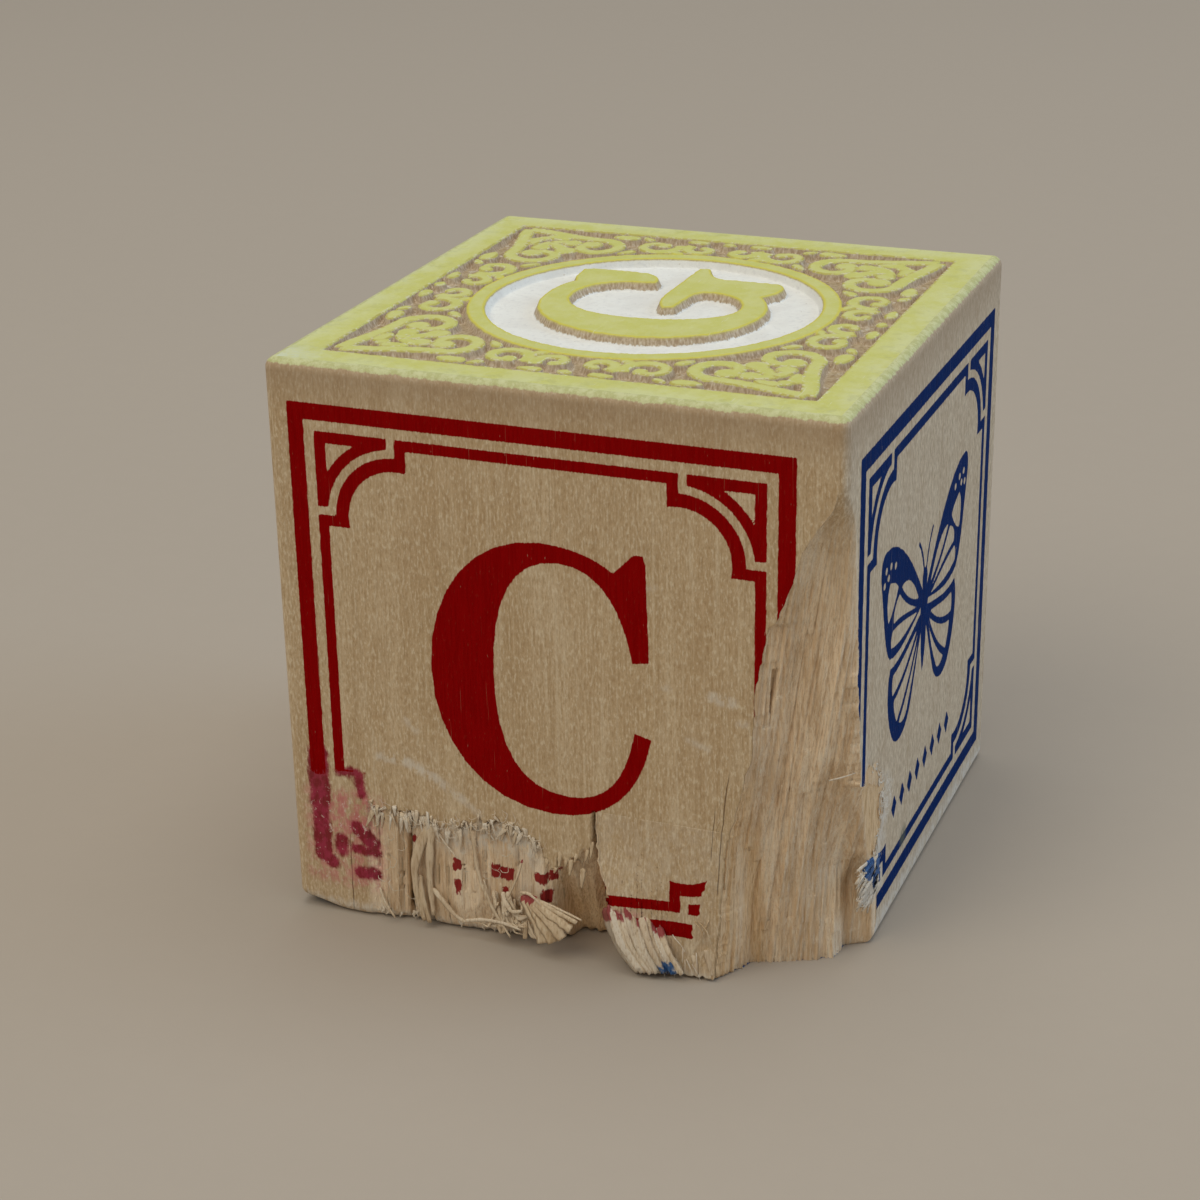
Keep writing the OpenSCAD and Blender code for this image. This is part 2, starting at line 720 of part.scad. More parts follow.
// Plan of the wood that is gone at the bottom, seen from below.
torn_margin_share = 0.006;
module bottom_gone_2d() {
    margin = torn_margin_share * block_w;
    foot = scar_shares[1];
    chewed = [for (row = chew_shares) [row[0] * block_w - half, half - row[2] * block_w - margin]];
    polygon(concat([[chewed[0][0], half + past]], chewed,
        [[chew_end, half - chew_shares[9][2] * block_w - margin]],
        [[foot[1] * block_w - half - margin, half - flap_d - margin]],
        [for (p = [foot[2], foot[3], foot[4]])
            [p[0] * block_w - half - margin, half - p[1] * block_w - margin]],
        [[half, half - foot[5] * block_w - margin], [half + past, half - foot[5] * block_w - margin],
            [half + past, half + past]]));
}

module bottom_frame_paint() {
    color(blue)
        on_bottom()
            translate([0, 0, -paint_t])
                linear_extrude(paint_t)
                    difference() {
                        frame_paint_2d();
                        bottom_gone_2d();
                    }
}

module bottom_scroll_paint() {
    on_bottom() painted(paint_t, blue) scroll_2d();
}

module bottom_ring_paint() {
    on_bottom() painted(paint_t, blue) ring_2d();
}

module bottom_letter_paint() {
    on_bottom() painted(paint_t, blue) letter_h_2d();
}

module bottom_disc_paint() {
    on_bottom() disc_paint(white) letter_h_2d();
}

// ---- ink on the sides ----

// Print on a side that is turned from the front by an angle, moved by a shift.
module printed(turn, shift, tint) {
    color(tint)
        rotate(turn)
            translate([0, -half, mid_h])
                rotate([90, 0, 0])
                    linear_extrude(ink_t)
                        translate(shift)
                            children();
}

front_shift = [front_shift_x, front_shift_z];
right_shift = [right_shift_y, right_shift_z];
no_shift = [0, 0];

// Areas where the front print is torn away, from the print's own centre.
chew_left_share = 0.155;
chew_top_share = 0.212;
flap_worn_share = 0.075;
ink_edge_share = 0.004;
scar_top_share = 0.87;
module front_gone_2d() {
    translate([-half, -mid_h] - front_shift) {
        polygon(concat([[block_w + past, -past]],
            [for (row = scar_shares) [(row[1] - ink_edge_share) * block_w, row[0] * block_h]],
            [[block_w + past, block_h * scar_top_share]]));
        translate([chew_left_share * block_w, -past])
            square([chew_end + half - chew_left_share * block_w, chew_top_share * block_h + past]);
        polygon(concat([[chew_end + half - past, -past], [chew_end + half - past, flap_h]],
            [for (p = flap_edge_shares) [p[0] * block_w, p[1] * flap_h]],
            [[flap_edge_shares[5][0] * block_w, -past]]));
        translate([chew_end + half, -past])
            square([flap_right - chew_end, flap_worn_share * block_h + past]);
    }
}

// Area where the right print is torn away: below, a bare patch beside the break,
// [in from front, height] as shares, and above it the break itself.
right_torn_shares = [[0.250, -0.050], [0.262, 0.046], [0.247, 0.143], [0.234, 0.280], [0.125, 0.333]];
scar_upper_row = 4;
module right_gone_2d() {
    translate([-half, -mid_h] - right_shift)
        polygon(concat([[-past, -past]],
            [for (p = right_torn_shares) [p[0] * block_w, p[1] * block_h]],
            [for (i = [scar_upper_row:len(scar_shares) - 1]) let (row = scar_shares[i])
                [(row[5] + ink_edge_share) * block_w, row[0] * block_h]],
            [[-past, block_h * scar_top_share]]));
}

module front_printed() {
    printed(0, front_shift, red)
        difference() {
            children();
            front_gone_2d();
        }
}

module right_printed() {
    printed(90, right_shift, blue)
        difference() {
            children();
            right_gone_2d();
        }
}

module front_outer_border() { front_printed() outer_border_2d(); }
module front_inner_border() { front_printed() inner_border_2d(); }
module front_corners() { front_printed() corners_2d(); }
module front_letter() { front_printed() letter_c_2d(); }

// The picture sits above the middle of the right print, the lozenges below it.
butterfly_up_share = 0.042;
butterfly_left_share = 0.018;
lozenge_down_share = 0.325;
module right_outer_border() { right_printed() outer_border_2d(); }
module right_inner_border() { right_printed() inner_border_2d(); }
module right_corners() { right_printed() corners_2d(); }
module right_butterfly() {
    right_printed()
        translate([-butterfly_left_share * print_w, butterfly_up_share * print_h])
            butterfly_2d();
}
module right_lozenges() {
    right_printed()
        translate([0, -lozenge_down_share * print_h])
            lozenges_2d();
}

module back_outer_border() { printed(180, no_shift, blue) outer_border_2d(); }
module back_inner_border() { printed(180, no_shift, blue) inner_border_2d(); }
module back_corners() { printed(180, no_shift, blue) corners_2d(); }
module back_number() { printed(180, no_shift, blue) number_7_2d(); }

module left_outer_border() { printed(270, no_shift, red) outer_border_2d(); }
module left_inner_border() { printed(270, no_shift, red) inner_border_2d(); }
module left_corners() { printed(270, no_shift, red) corners_2d(); }
module left_leaf() { printed(270, no_shift, red) leaf_2d(); }

wood_block();
front_flap();
front_splinters();
side_flap();
top_frame_paint();
top_scroll_paint();
top_ring_paint();
top_letter_paint();
top_disc_paint();
bottom_frame_paint();
bottom_scroll_paint();
bottom_ring_paint();
bottom_letter_paint();
bottom_disc_paint();
front_outer_border();
front_inner_border();
front_corners();
front_letter();
right_outer_border();
right_inner_border();
right_corners();
right_butterfly();
right_lozenges();
back_outer_border();
back_inner_border();
back_corners();
back_number();
left_outer_border();
left_inner_border();
left_corners();
left_leaf();
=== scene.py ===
import math

import bpy
import numpy as np
from mathutils import Matrix, Vector


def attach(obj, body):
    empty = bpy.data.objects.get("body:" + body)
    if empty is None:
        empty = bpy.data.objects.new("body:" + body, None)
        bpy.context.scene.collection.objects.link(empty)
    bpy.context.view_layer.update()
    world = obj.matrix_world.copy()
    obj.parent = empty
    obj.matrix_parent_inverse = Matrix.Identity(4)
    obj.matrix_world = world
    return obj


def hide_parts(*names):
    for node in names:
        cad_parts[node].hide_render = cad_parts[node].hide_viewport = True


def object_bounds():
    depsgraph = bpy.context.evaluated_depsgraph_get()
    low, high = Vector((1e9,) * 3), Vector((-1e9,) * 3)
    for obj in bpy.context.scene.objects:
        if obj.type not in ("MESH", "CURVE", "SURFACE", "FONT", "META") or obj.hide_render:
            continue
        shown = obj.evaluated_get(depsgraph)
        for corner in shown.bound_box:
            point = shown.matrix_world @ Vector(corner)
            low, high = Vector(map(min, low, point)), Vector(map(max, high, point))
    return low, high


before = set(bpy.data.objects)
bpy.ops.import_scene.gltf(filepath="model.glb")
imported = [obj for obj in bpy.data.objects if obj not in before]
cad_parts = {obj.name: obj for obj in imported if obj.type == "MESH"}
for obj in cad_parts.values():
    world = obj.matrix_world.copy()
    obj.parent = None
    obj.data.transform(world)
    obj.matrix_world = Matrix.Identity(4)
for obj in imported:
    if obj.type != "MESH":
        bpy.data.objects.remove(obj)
cad_lo, cad_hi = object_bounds()

# Sizes in millimetres, as in the part's source
SIDE, HEIGHT, ROUND = 44.45, 45.3, 0.8
HALF, MID = SIDE / 2, HEIGHT / 2
FLAT = HALF - ROUND
POCKET = HALF - 3.3
DEBOSS = 0.6
RING_R, RING_W = 14.4, 1.3
SCROLL_W = 1.2
PRINT, OUTER, INNER, GAP = 39.0, 1.3, 0.85, 0.8
NOTCH, STEP = 6.5, 1.47
BOX = PRINT - 2 * (OUTER + GAP)
LETTER_H, END_LETTER_H, BUTTERFLY_H, NUMBER_H, LEAF_H = 21.7, 18.0, 25.6, 20.0, 21.0
# How far each print lies off the middle of its side (across, up)
FRONT_SHIFT, RIGHT_SHIFT, NO_SHIFT = (-0.9, 0.1), (0.4, -0.7), (0, 0)
FLAP_H = 12.1
# Distance at which a printed element ends for certain
FAR = 2.0


# Noise
def hash_share(ix, iy, seed):
    """A random share from 0 to 1 for each pair of whole numbers."""
    h = (ix.astype(np.int64) * 374761393 + iy.astype(np.int64) * 668265263 + seed * 974634777) & 0xFFFFFFFF
    h = ((h ^ (h >> 13)) * 1274126177) & 0xFFFFFFFF
    h = ((h ^ (h >> 16)) * 2246822519) & 0xFFFFFFFF
    return ((h ^ (h >> 15)) & 0xFFFFFF) / float(0xFFFFFF)


def cell(x, y=0.0, seed=0):
    """One random share for each whole step of x and y."""
    x, y = np.broadcast_arrays(np.floor(x), np.floor(y))
    return hash_share(x, y, seed)


def noise(x, y=0.0, seed=0):
    """Smooth noise from -1 to 1."""
    x, y = np.broadcast_arrays(np.asarray(x, float), np.asarray(y, float))
    fx, fy = np.floor(x), np.floor(y)
    tx, ty = (t * t * (3 - 2 * t) for t in (x - fx, y - fy))
    low = lerp(hash_share(fx, fy, seed), hash_share(fx + 1, fy, seed), tx)
    high = lerp(hash_share(fx, fy + 1, seed), hash_share(fx + 1, fy + 1, seed), tx)
    return 2 * lerp(low, high, ty) - 1


def smooth(a, b, x):
    """A soft step from 0 where x is a to 1 where x is b."""
    t = np.clip((np.asarray(x, float) - a) / (b - a), 0, 1)
    return t * t * (3 - 2 * t)


def between(a, b, c, d, x):
    """1 where x lies between b and c, fading to 0 at a and at d."""
    return smooth(a, b, x) * (1 - smooth(c, d, x))


def hump(x, middle, width):
    return np.exp(-((x - middle) / width) ** 2)


def lerp(a, b, t):
    return a + (b - a) * t


def read(line, at):
    """Value of a measured line of (place, value) pairs, straight between its points."""
    places, values = np.transpose(line)
    return np.interp(at, places, values)


# Flat shapes as outlines, and as signed distances that are negative inside
def bezier(p0, p1, p2, p3, t):
    p0, p1, p2, p3 = (np.asarray(p, float) for p in (p0, p1, p2, p3))
    t = t[:, None]
    s = 1 - t
    return s ** 3 * p0 + 3 * s ** 2 * t * p1 + 3 * s * t * t * p2 + t ** 3 * p3


def curve(start, *ends, steps=8):
    """Points of a curve after its start."""
    return bezier(start, *ends, np.arange(1, steps + 1) / steps)


def outline(items):
    """Points, and between them curves given by two handles and an end."""
    points = []
    for item in items:
        if isinstance(item[0], (list, tuple)):
            points += [list(p) for p in curve(points[-1], *item)]
        else:
            points.append(list(item))
    return np.array(points, float)


def both_halves(points):
    """A right half outline with its mirror image."""
    return np.concatenate([points, points[::-1] * [-1, 1]])


def turned(r, angle):
    return np.stack([r * np.cos(angle), r * np.sin(angle)], -1)


def spiral(centre, r0, r1, a0, a1, steps=18):
    t = np.arange(steps + 1) / steps
    return np.array(centre, float) + turned(lerp(r0, r1, t), np.radians(lerp(a0, a1, t)))


def stroke(path, w0, w1):
    """Outline of a line with a width that runs from w0 to w1."""
    path = np.asarray(path, float)
    step = np.arange(len(path))
    last = step[-1]
    along = path[np.minimum(step + 1, last)] - path[np.maximum(step - 1, 0)]
    along /= np.linalg.norm(along, axis=1)[:, None]
    out = np.stack([-along[:, 1], along[:, 0]], 1) * (lerp(w0, w1, step / last) / 2)[:, None]
    return np.concatenate([path + out, (path - out)[::-1]])


def oval(centre, long, wide, degrees):
    """A leaf shape, blunter at its far end."""
    t = np.radians(np.arange(0, 360, 24))
    c, s = math.cos(math.radians(degrees)), math.sin(math.radians(degrees))
    x, y = long / 2 * np.cos(t), wide / 2 * np.sin(t) * (1 - 0.25 * np.cos(t))
    return np.array(centre, float) + np.stack([x * c - y * s, x * s + y * c], 1)


def poly_sdf(points, poly, reach=1.5):
    """Signed distance to an outline, exact up to reach."""
    poly = np.asarray(poly, float)
    out = np.full(len(points), reach)
    near = ((points >= poly.min(0) - reach) & (points <= poly.max(0) + reach)).all(1)
    near = np.flatnonzero(near)
    if not len(near):
        return out
    a, b = poly[None], np.roll(poly, -1, 0)[None]
    edge = b - a
    length2 = (edge * edge).sum(2) + 1e-12
    rise = np.where(np.abs(edge[..., 1]) < 1e-12, 1e-12, edge[..., 1])
    for chunk in np.array_split(near, len(near) * len(poly) // 3000000 + 1):
        p = points[chunk][:, None, :]
        w = p - a
        t = np.clip((w * edge).sum(2) / length2, 0, 1)
        gap = np.sqrt(((w - edge * t[..., None]) ** 2).sum(2).min(1))
        level = (a[..., 1] <= p[..., 1]) != (b[..., 1] <= p[..., 1])
        crossing = level & (p[..., 0] < a[..., 0] + w[..., 1] * edge[..., 0] / rise)
        out[chunk] = np.where(crossing.sum(1) % 2 == 1, -gap, gap)
    return np.minimum(out, reach)


def box_sdf(points, half_x, half_y):
    q = np.abs(points) - [half_x, half_y]
    return np.linalg.norm(np.maximum(q, 0), axis=1) + np.minimum(q.max(1), 0)


def circle_sdf(points, centre, r):
    return np.linalg.norm(points - np.asarray(centre, float), axis=1) - r


def segment_sdf(points, a, b, r):
    a, b = np.array(a, float), np.array(b, float)
    t = np.clip(((points - a) @ (b - a)) / ((b - a) @ (b - a)), 0, 1)[:, None]
    return np.linalg.norm(points - a - t * (b - a), axis=1) - r


def folded(points):
    """The left half laid over the right half."""
    return np.stack([np.abs(points[:, 0]), points[:, 1]], 1)


def joined(*shapes):
    return np.min(shapes, 0)


def without(shape, *holes):
    for hole in holes:
        shape = np.maximum(shape, -hole)
    return shape


# Borders of a printed side
def outer_sdf(points):
    half = PRINT / 2
    return without(box_sdf(points, half, half), box_sdf(points, half - OUTER, half - OUTER))


def panel_sdf(points, inset, extra=0.0):
    """A square whose corners are notched round an arc."""
    half = BOX / 2 - inset
    q = np.abs(points)
    square = box_sdf(points, half, half)
    notch = np.maximum(half - NOTCH - q[:, 0], half - NOTCH - q[:, 1])
    arc = circle_sdf(q, (BOX / 2 - NOTCH,) * 2, NOTCH - STEP - inset - extra)
    return joined(without(square, notch), np.maximum(square, arc))


def inner_sdf(points):
    return without(panel_sdf(points, 0), panel_sdf(points, INNER, 0.2))


def corners_sdf(points):
    """A hollow three-sided ornament in each corner."""
    q = np.abs(points)
    gap = GAP * 0.78
    reach = NOTCH - gap
    edge = BOX / 2
    arc = circle_sdf(q, (edge - NOTCH,) * 2, NOTCH - STEP + gap)
    square = box_sdf(q - (edge - reach / 2), reach / 2, reach / 2)
    hole = np.maximum(q.max(1) - (edge - INNER - 0.05), -(arc - INNER))
    return without(square, arc, hole)


# Letters, number, butterfly and leaf, as shares of their height
C_SHAPE = outline([
    [0.75, 1.00], [0.78, 1.00], [0.79, 0.97], [0.80, 0.62], [0.74, 0.61],
    [[0.71, 0.78], [0.64, 0.935], [0.48, 0.935]], [[0.31, 0.935], [0.235, 0.77], [0.235, 0.50]],
    [[0.235, 0.22], [0.32, 0.076], [0.50, 0.076]], [[0.64, 0.076], [0.71, 0.17], [0.745, 0.355]],
    [0.805, 0.34],
    [[0.765, 0.12], [0.64, 0.00], [0.44, 0.00]], [[0.17, 0.00], [0.00, 0.22], [0.00, 0.49]],
    [[0.00, 0.79], [0.18, 1.00], [0.415, 1.00]], [[0.52, 1.00], [0.62, 0.97], [0.675, 0.925]]])
G_SHAPE = outline([
    [0.79, 0.98], [0.91, 0.99], [0.93, 0.93], [0.925, 0.69],
    [[0.90, 0.63], [0.85, 0.61], [0.80, 0.61]], [0.785, 0.66],
    [[0.78, 0.81], [0.68, 0.895], [0.53, 0.895]], [[0.37, 0.895], [0.255, 0.745], [0.255, 0.545]],
    [[0.255, 0.335], [0.345, 0.12], [0.495, 0.12]], [[0.62, 0.12], [0.705, 0.19], [0.72, 0.29]],
    [[0.73, 0.365], [0.69, 0.395], [0.60, 0.395]], [0.465, 0.405], [0.445, 0.445],
    [[0.49, 0.485], [0.565, 0.50], [0.645, 0.50]], [1.065, 0.495], [1.07, 0.45],
    [[1.01, 0.42], [0.935, 0.40], [0.93, 0.335]], [0.93, 0.095],
    [[0.92, 0.035], [0.83, 0.03], [0.79, 0.05]], [0.715, 0.09],
    [[0.64, 0.035], [0.545, 0.00], [0.455, 0.00]], [[0.18, 0.00], [0.00, 0.20], [0.00, 0.465]],
    [[0.00, 0.765], [0.20, 1.00], [0.49, 1.00]], [[0.59, 1.00], [0.665, 0.985], [0.72, 0.955]]])
H_SHAPE = both_halves(np.array([
    [0.00, 0.56], [0.16, 0.56], [0.16, 0.92], [0.06, 0.95], [0.06, 1.00], [0.46, 1.00], [0.46, 0.95],
    [0.36, 0.92], [0.36, 0.08], [0.46, 0.05], [0.46, 0.00], [0.06, 0.00], [0.06, 0.05], [0.16, 0.08],
    [0.16, 0.45], [0.00, 0.45]]))
SEVEN = outline([
    [0.00, 0.70], [0.06, 0.70], [[0.09, 0.80], [0.15, 0.83], [0.26, 0.83]], [0.46, 0.83],
    [[0.32, 0.60], [0.17, 0.36], [0.16, 0.00]], [0.37, 0.00],
    [[0.37, 0.34], [0.48, 0.64], [0.62, 0.90]], [0.62, 1.00], [0.06, 1.00], [0.02, 1.00]])
LEAF_HALF = outline([
    [0.00, 1.00], [[0.10, 0.86], [0.34, 0.74], [0.34, 0.50]], [[0.34, 0.34], [0.18, 0.24], [0.03, 0.20]],
    [0.02, 0.00], [0.00, 0.00]])
LEAF_VEINS = (0.34, 0.46, 0.58, 0.70)
FOREWING = outline([
    [0.012, 0.03],
    [[0.10, 0.13], [0.28, 0.33], [0.45, 0.325]], [[0.50, 0.325], [0.51, 0.28], [0.49, 0.22]],
    [[0.46, 0.12], [0.44, 0.00], [0.385, -0.035]], [[0.28, -0.07], [0.14, -0.03], [0.012, 0.00]]])
HINDWING = outline([
    [0.012, -0.02],
    [[0.14, -0.05], [0.28, -0.09], [0.375, -0.07]], [[0.42, -0.13], [0.39, -0.26], [0.32, -0.325]],
    [[0.26, -0.37], [0.17, -0.35], [0.13, -0.28]], [[0.09, -0.21], [0.05, -0.12], [0.012, -0.06]]])
FORE_CELLS = [outline(cell_of) for cell_of in (
    [[0.07, 0.035], [[0.12, 0.05], [0.20, 0.08], [0.27, 0.15]], [[0.20, 0.16], [0.13, 0.12], [0.07, 0.035]]],
    [[0.09, 0.015], [[0.17, 0.03], [0.25, 0.06], [0.35, 0.065]], [[0.36, 0.10], [0.33, 0.125], [0.29, 0.135]],
     [[0.23, 0.08], [0.16, 0.045], [0.09, 0.015]]],
    [[0.08, -0.005], [[0.18, -0.02], [0.28, -0.03], [0.37, -0.005]],
     [[0.38, 0.02], [0.37, 0.04], [0.355, 0.045]], [[0.27, 0.04], [0.17, 0.015], [0.08, -0.005]]],
    [[0.31, 0.165], [[0.34, 0.13], [0.37, 0.10], [0.41, 0.09]], [[0.43, 0.14], [0.43, 0.18], [0.40, 0.21]],
     [[0.37, 0.20], [0.33, 0.19], [0.31, 0.165]]])]
HIND_CELLS = [outline(cell_of) for cell_of in (
    [[0.08, -0.065], [[0.17, -0.08], [0.25, -0.105], [0.34, -0.105]],
     [[0.35, -0.135], [0.35, -0.155], [0.34, -0.17]], [[0.25, -0.165], [0.15, -0.12], [0.08, -0.065]]],
    [[0.07, -0.085], [[0.14, -0.13], [0.22, -0.18], [0.325, -0.195]],
     [[0.32, -0.23], [0.30, -0.26], [0.285, -0.275]], [[0.20, -0.23], [0.12, -0.16], [0.07, -0.085]]],
    [[0.06, -0.105], [[0.11, -0.17], [0.18, -0.245], [0.26, -0.29]],
     [[0.22, -0.315], [0.18, -0.305], [0.165, -0.275]], [[0.12, -0.22], [0.09, -0.16], [0.06, -0.105]]])]
WING_SPOTS = [[0.345, 0.245], [0.395, 0.262], [0.445, 0.265], [0.42, 0.235], [0.462, 0.225]]
SPOT_R, FEELER_W = 0.011, 0.014
INSECT_HALF = outline([
    [0.00, 0.11], [[0.03, 0.11], [0.035, 0.07], [0.025, 0.05]], [[0.05, 0.02], [0.045, -0.03], [0.03, -0.05]],
    [[0.035, -0.13], [0.02, -0.20], [0.00, -0.235]]])
FEELER = outline([[0.012, 0.10], [[0.03, 0.16], [0.06, 0.20], [0.085, 0.215]]])
BUTTERFLY_PLACE = (-0.018 * PRINT, 0.042 * PRINT)
LOZENGE_LEVEL, LOZENGE_STEP, LOZENGE_W, LOZENGES = -0.325 * PRINT, PRINT / 17, PRINT / 26, 8


def letter_c_sdf(points):
    return poly_sdf(points, LETTER_H * (C_SHAPE - [0.4025, 0.5]))


def letter_g_sdf(points):
    """The letter of the top, which reads from the right side."""
    q = np.stack([points[:, 1], -points[:, 0]], 1)
    return poly_sdf(q, END_LETTER_H * (G_SHAPE - [0.485, 0.5]), 2.5)


def letter_h_sdf(points):
    return poly_sdf(points, END_LETTER_H * (H_SHAPE - [0, 0.5]), 2.5)


def number_sdf(points):
    return poly_sdf(points, NUMBER_H * (SEVEN - [0.31, 0.5]))


def butterfly_sdf(points):
    p = points - BUTTERFLY_PLACE
    q = folded(p)
    size = BUTTERFLY_H
    fore = without(poly_sdf(q, size * FOREWING), *(poly_sdf(q, size * c) for c in FORE_CELLS),
                   *(circle_sdf(q, np.array(c) * size, SPOT_R * size) for c in WING_SPOTS))
    hind = without(poly_sdf(q, size * HINDWING), *(poly_sdf(q, size * c) for c in HIND_CELLS))
    insect = poly_sdf(p, size * both_halves(INSECT_HALF))
    return joined(fore, hind, insect, poly_sdf(q, size * stroke(FEELER, FEELER_W, FEELER_W)))


def lozenges_sdf(points):
    """A row of small lozenges, a little taller than wide."""
    lean = 1.4
    middle = np.clip(np.round(points[:, 0] / LOZENGE_STEP - 0.5), -LOZENGES / 2, LOZENGES / 2 - 1) + 0.5
    x = np.abs(points[:, 0] - middle * LOZENGE_STEP)
    return (lean * x + np.abs(points[:, 1] - LOZENGE_LEVEL) - lean / 2 * LOZENGE_W) / math.hypot(lean, 1)


def leaf_sdf(points):
    q = points + [0, LEAF_H / 2]
    veins = [stroke([[0.022, v], [0.022 + 0.21 * (1.1 - v), v + 0.105]], 0.022, 0.022) for v in LEAF_VEINS]
    leaf = poly_sdf(q, LEAF_H * both_halves(LEAF_HALF))
    return without(leaf, *(poly_sdf(folded(q), LEAF_H * vein) for vein in veins))


# Scrollwork of the ends, in shares of half the pocket, measured from a corner or from a side's middle
HEART_TIP, HEART_LOBE, LOBE_R, LOBE_EYE_R = 0.055, (0.445, 0.25), 0.12, 0.045
LEAF_ROOT, LEAF_END = (0.235, 0.235), (0.325, 0.215)
# place, radius, first and last angle
CURLS = [((0.292, 0.158), 0.102, 205, -130), ((0.092, 0.152), 0.074, -40, 250)]
# place, length, width, angle
LEAVES = [((0.478, 0.056), 0.125, 0.066, 5), ((0.145, 0.038), 0.100, 0.048, 0),
          ((0.190, 0.228), 0.090, 0.040, -25), ((0.392, 0.288), 0.090, 0.042, 50),
          ((0.375, 0.050), 0.070, 0.036, -35), ((0.0, 0.040), 0.060, 0.048, 0)]


def share(x, y):
    return np.array([x, y], float) * POCKET


def heart_shapes():
    """Half of the heart in a corner: its strokes and leaf, and the balls that end them."""
    tip, lobe = share(HEART_TIP, HEART_TIP), share(*HEART_LOBE)
    lobe_r = LOBE_R * POCKET
    foot = lobe - [0, lobe_r]
    path = np.concatenate([[tip], curve(tip, [lobe[0] / 3, tip[1]], [2 * lobe[0] / 3, foot[1]], foot),
                           spiral(lobe, lobe_r, LOBE_EYE_R * POCKET, -80, 230)])
    root, end = share(*LEAF_ROOT), share(*LEAF_END)
    stem = np.concatenate([[root], curve(root, root + [0.8, -0.6], end - [0.4, 0.4], end)])
    shapes = [stroke(path, SCROLL_W, SCROLL_W * 0.8), stroke(stem, 0.95, 0.8),
              oval(share(0.235, 0.150), 0.120 * POCKET, 0.060 * POCKET, 12),
              stroke([root, share(0.335, 0.335)], 0.8, 1.3)]
    balls = [(path[-1], 0.048), (end, 0.042), (share(0.34, 0.34), 0.048), (share(0.175, 0.175), 0.030)]
    return shapes, balls


def curl_and_leaf_shapes():
    """Curls and leaves beside a side's middle."""
    paths = [spiral(share(*at), r * POCKET, 0.35 * r * POCKET, a0, a1) for at, r, a0, a1 in CURLS]
    shapes = [stroke(path, SCROLL_W * 0.86, SCROLL_W * 0.62) for path in paths]
    shapes += [oval(share(*at), long * POCKET, wide * POCKET, angle) for at, long, wide, angle in LEAVES]
    return shapes, [(path[-1], 0.30 * curl[1]) for path, curl in zip(paths, CURLS)]


def scroll_sdf(points):
    """The pattern of one corner and one side, drawn four times round."""
    out = np.full(len(points), 1.5)
    corner, middle = heart_shapes(), curl_and_leaf_shapes()
    for turn in range(4):
        a = -math.pi / 2 * turn
        c, s = math.cos(a), math.sin(a)
        q = points @ np.array([[c, s], [-s, c]])
        at_corner = q + POCKET
        for place, (shapes, balls) in ((at_corner, corner), (at_corner[:, ::-1], corner),
                                       (folded(q + [0, POCKET]), middle)):
            out = joined(out, *(poly_sdf(place, shape) for shape in shapes),
                         *(circle_sdf(place, centre, r * POCKET) for centre, r in balls))
    return out


def ring_sdf(points):
    r = np.linalg.norm(points, axis=1)
    return np.maximum(r - RING_R, RING_R - RING_W - r)


# Meshes
def build(name, verts, faces, attrs, normals=None):
    """A mesh object from millimetre vertices, quads, and point attributes."""
    me = bpy.data.meshes.new(name)
    faces = np.asarray(faces, np.int32)
    count, corners = faces.shape
    me.vertices.add(len(verts))
    me.vertices.foreach_set("co", (np.asarray(verts, float) * 0.001).astype(np.float32).ravel())
    me.loops.add(count * corners)
    me.loops.foreach_set("vertex_index", faces.ravel())
    me.polygons.add(count)
    me.polygons.foreach_set("loop_start", np.arange(0, count * corners, corners, dtype=np.int32))
    me.update(calc_edges=True)
    me.validate()
    me.polygons.foreach_set("use_smooth", np.ones(len(me.polygons), bool))
    for key, values in attrs.items():
        me.attributes.new(key, "FLOAT", "POINT").data.foreach_set("value", np.asarray(values, np.float32))
    if normals is not None and len(me.vertices) == len(verts):
        me.normals_split_custom_set_from_vertices(np.asarray(normals, np.float32))
    return link(bpy.data.objects.new(name, me))


def link(ob):
    bpy.context.scene.collection.objects.link(ob)
    return ob


def grid_faces(rows, cols, wrap=False):
    r = np.arange(rows - 1)[:, None]
    c = np.arange(cols if wrap else cols - 1)[None]
    a, b = r * cols + c, r * cols + (c + 1) % cols
    return np.stack([a, b, b + cols, a + cols], -1).reshape(-1, 4)


def rim_faces(rows, cols):
    """Faces that close the gap between a grid and its twin, all the way round."""
    at = np.arange(rows * cols).reshape(rows, cols)
    faces = []
    for line, outward in ((at[0], True), (at[-1], False), (at[:, 0], False), (at[:, -1], True)):
        quads = np.stack([line[:-1], line[:-1] + at.size, line[1:] + at.size, line[1:]], 1)
        faces.append(quads if outward else quads[:, [0, 3, 2, 1]])
    return np.concatenate(faces)


def vertex_normals(verts, faces):
    a, b, c, d = (verts[faces[:, i]] for i in range(4))
    face_normal = np.cross(c - a, d - b)
    out = np.zeros_like(verts)
    for i in range(4):
        for axis in range(3):
            out[:, axis] += np.bincount(faces[:, i], face_normal[:, axis], len(verts))
    return out / (np.linalg.norm(out, axis=1)[:, None] + 1e-12)


def piece(name, verts, faces, attrs, normals, pick):
    """Part of a big grid as an object of its own, with the big grid's normals."""
    used, index = np.unique(faces[pick], return_inverse=True)
    attrs = {key: values[used] for key, values in attrs.items()}
    return build(name, verts[used], index.reshape(-1, 4), attrs, normals[used])


def finish_piece(ob, material, slot, *nodes):
    """The piece's material and body, and the nodes that it stands for. Its slot is not used."""
    ob.data.materials.append(material)
    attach(ob, "root")
    if nodes:
        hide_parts(*nodes)


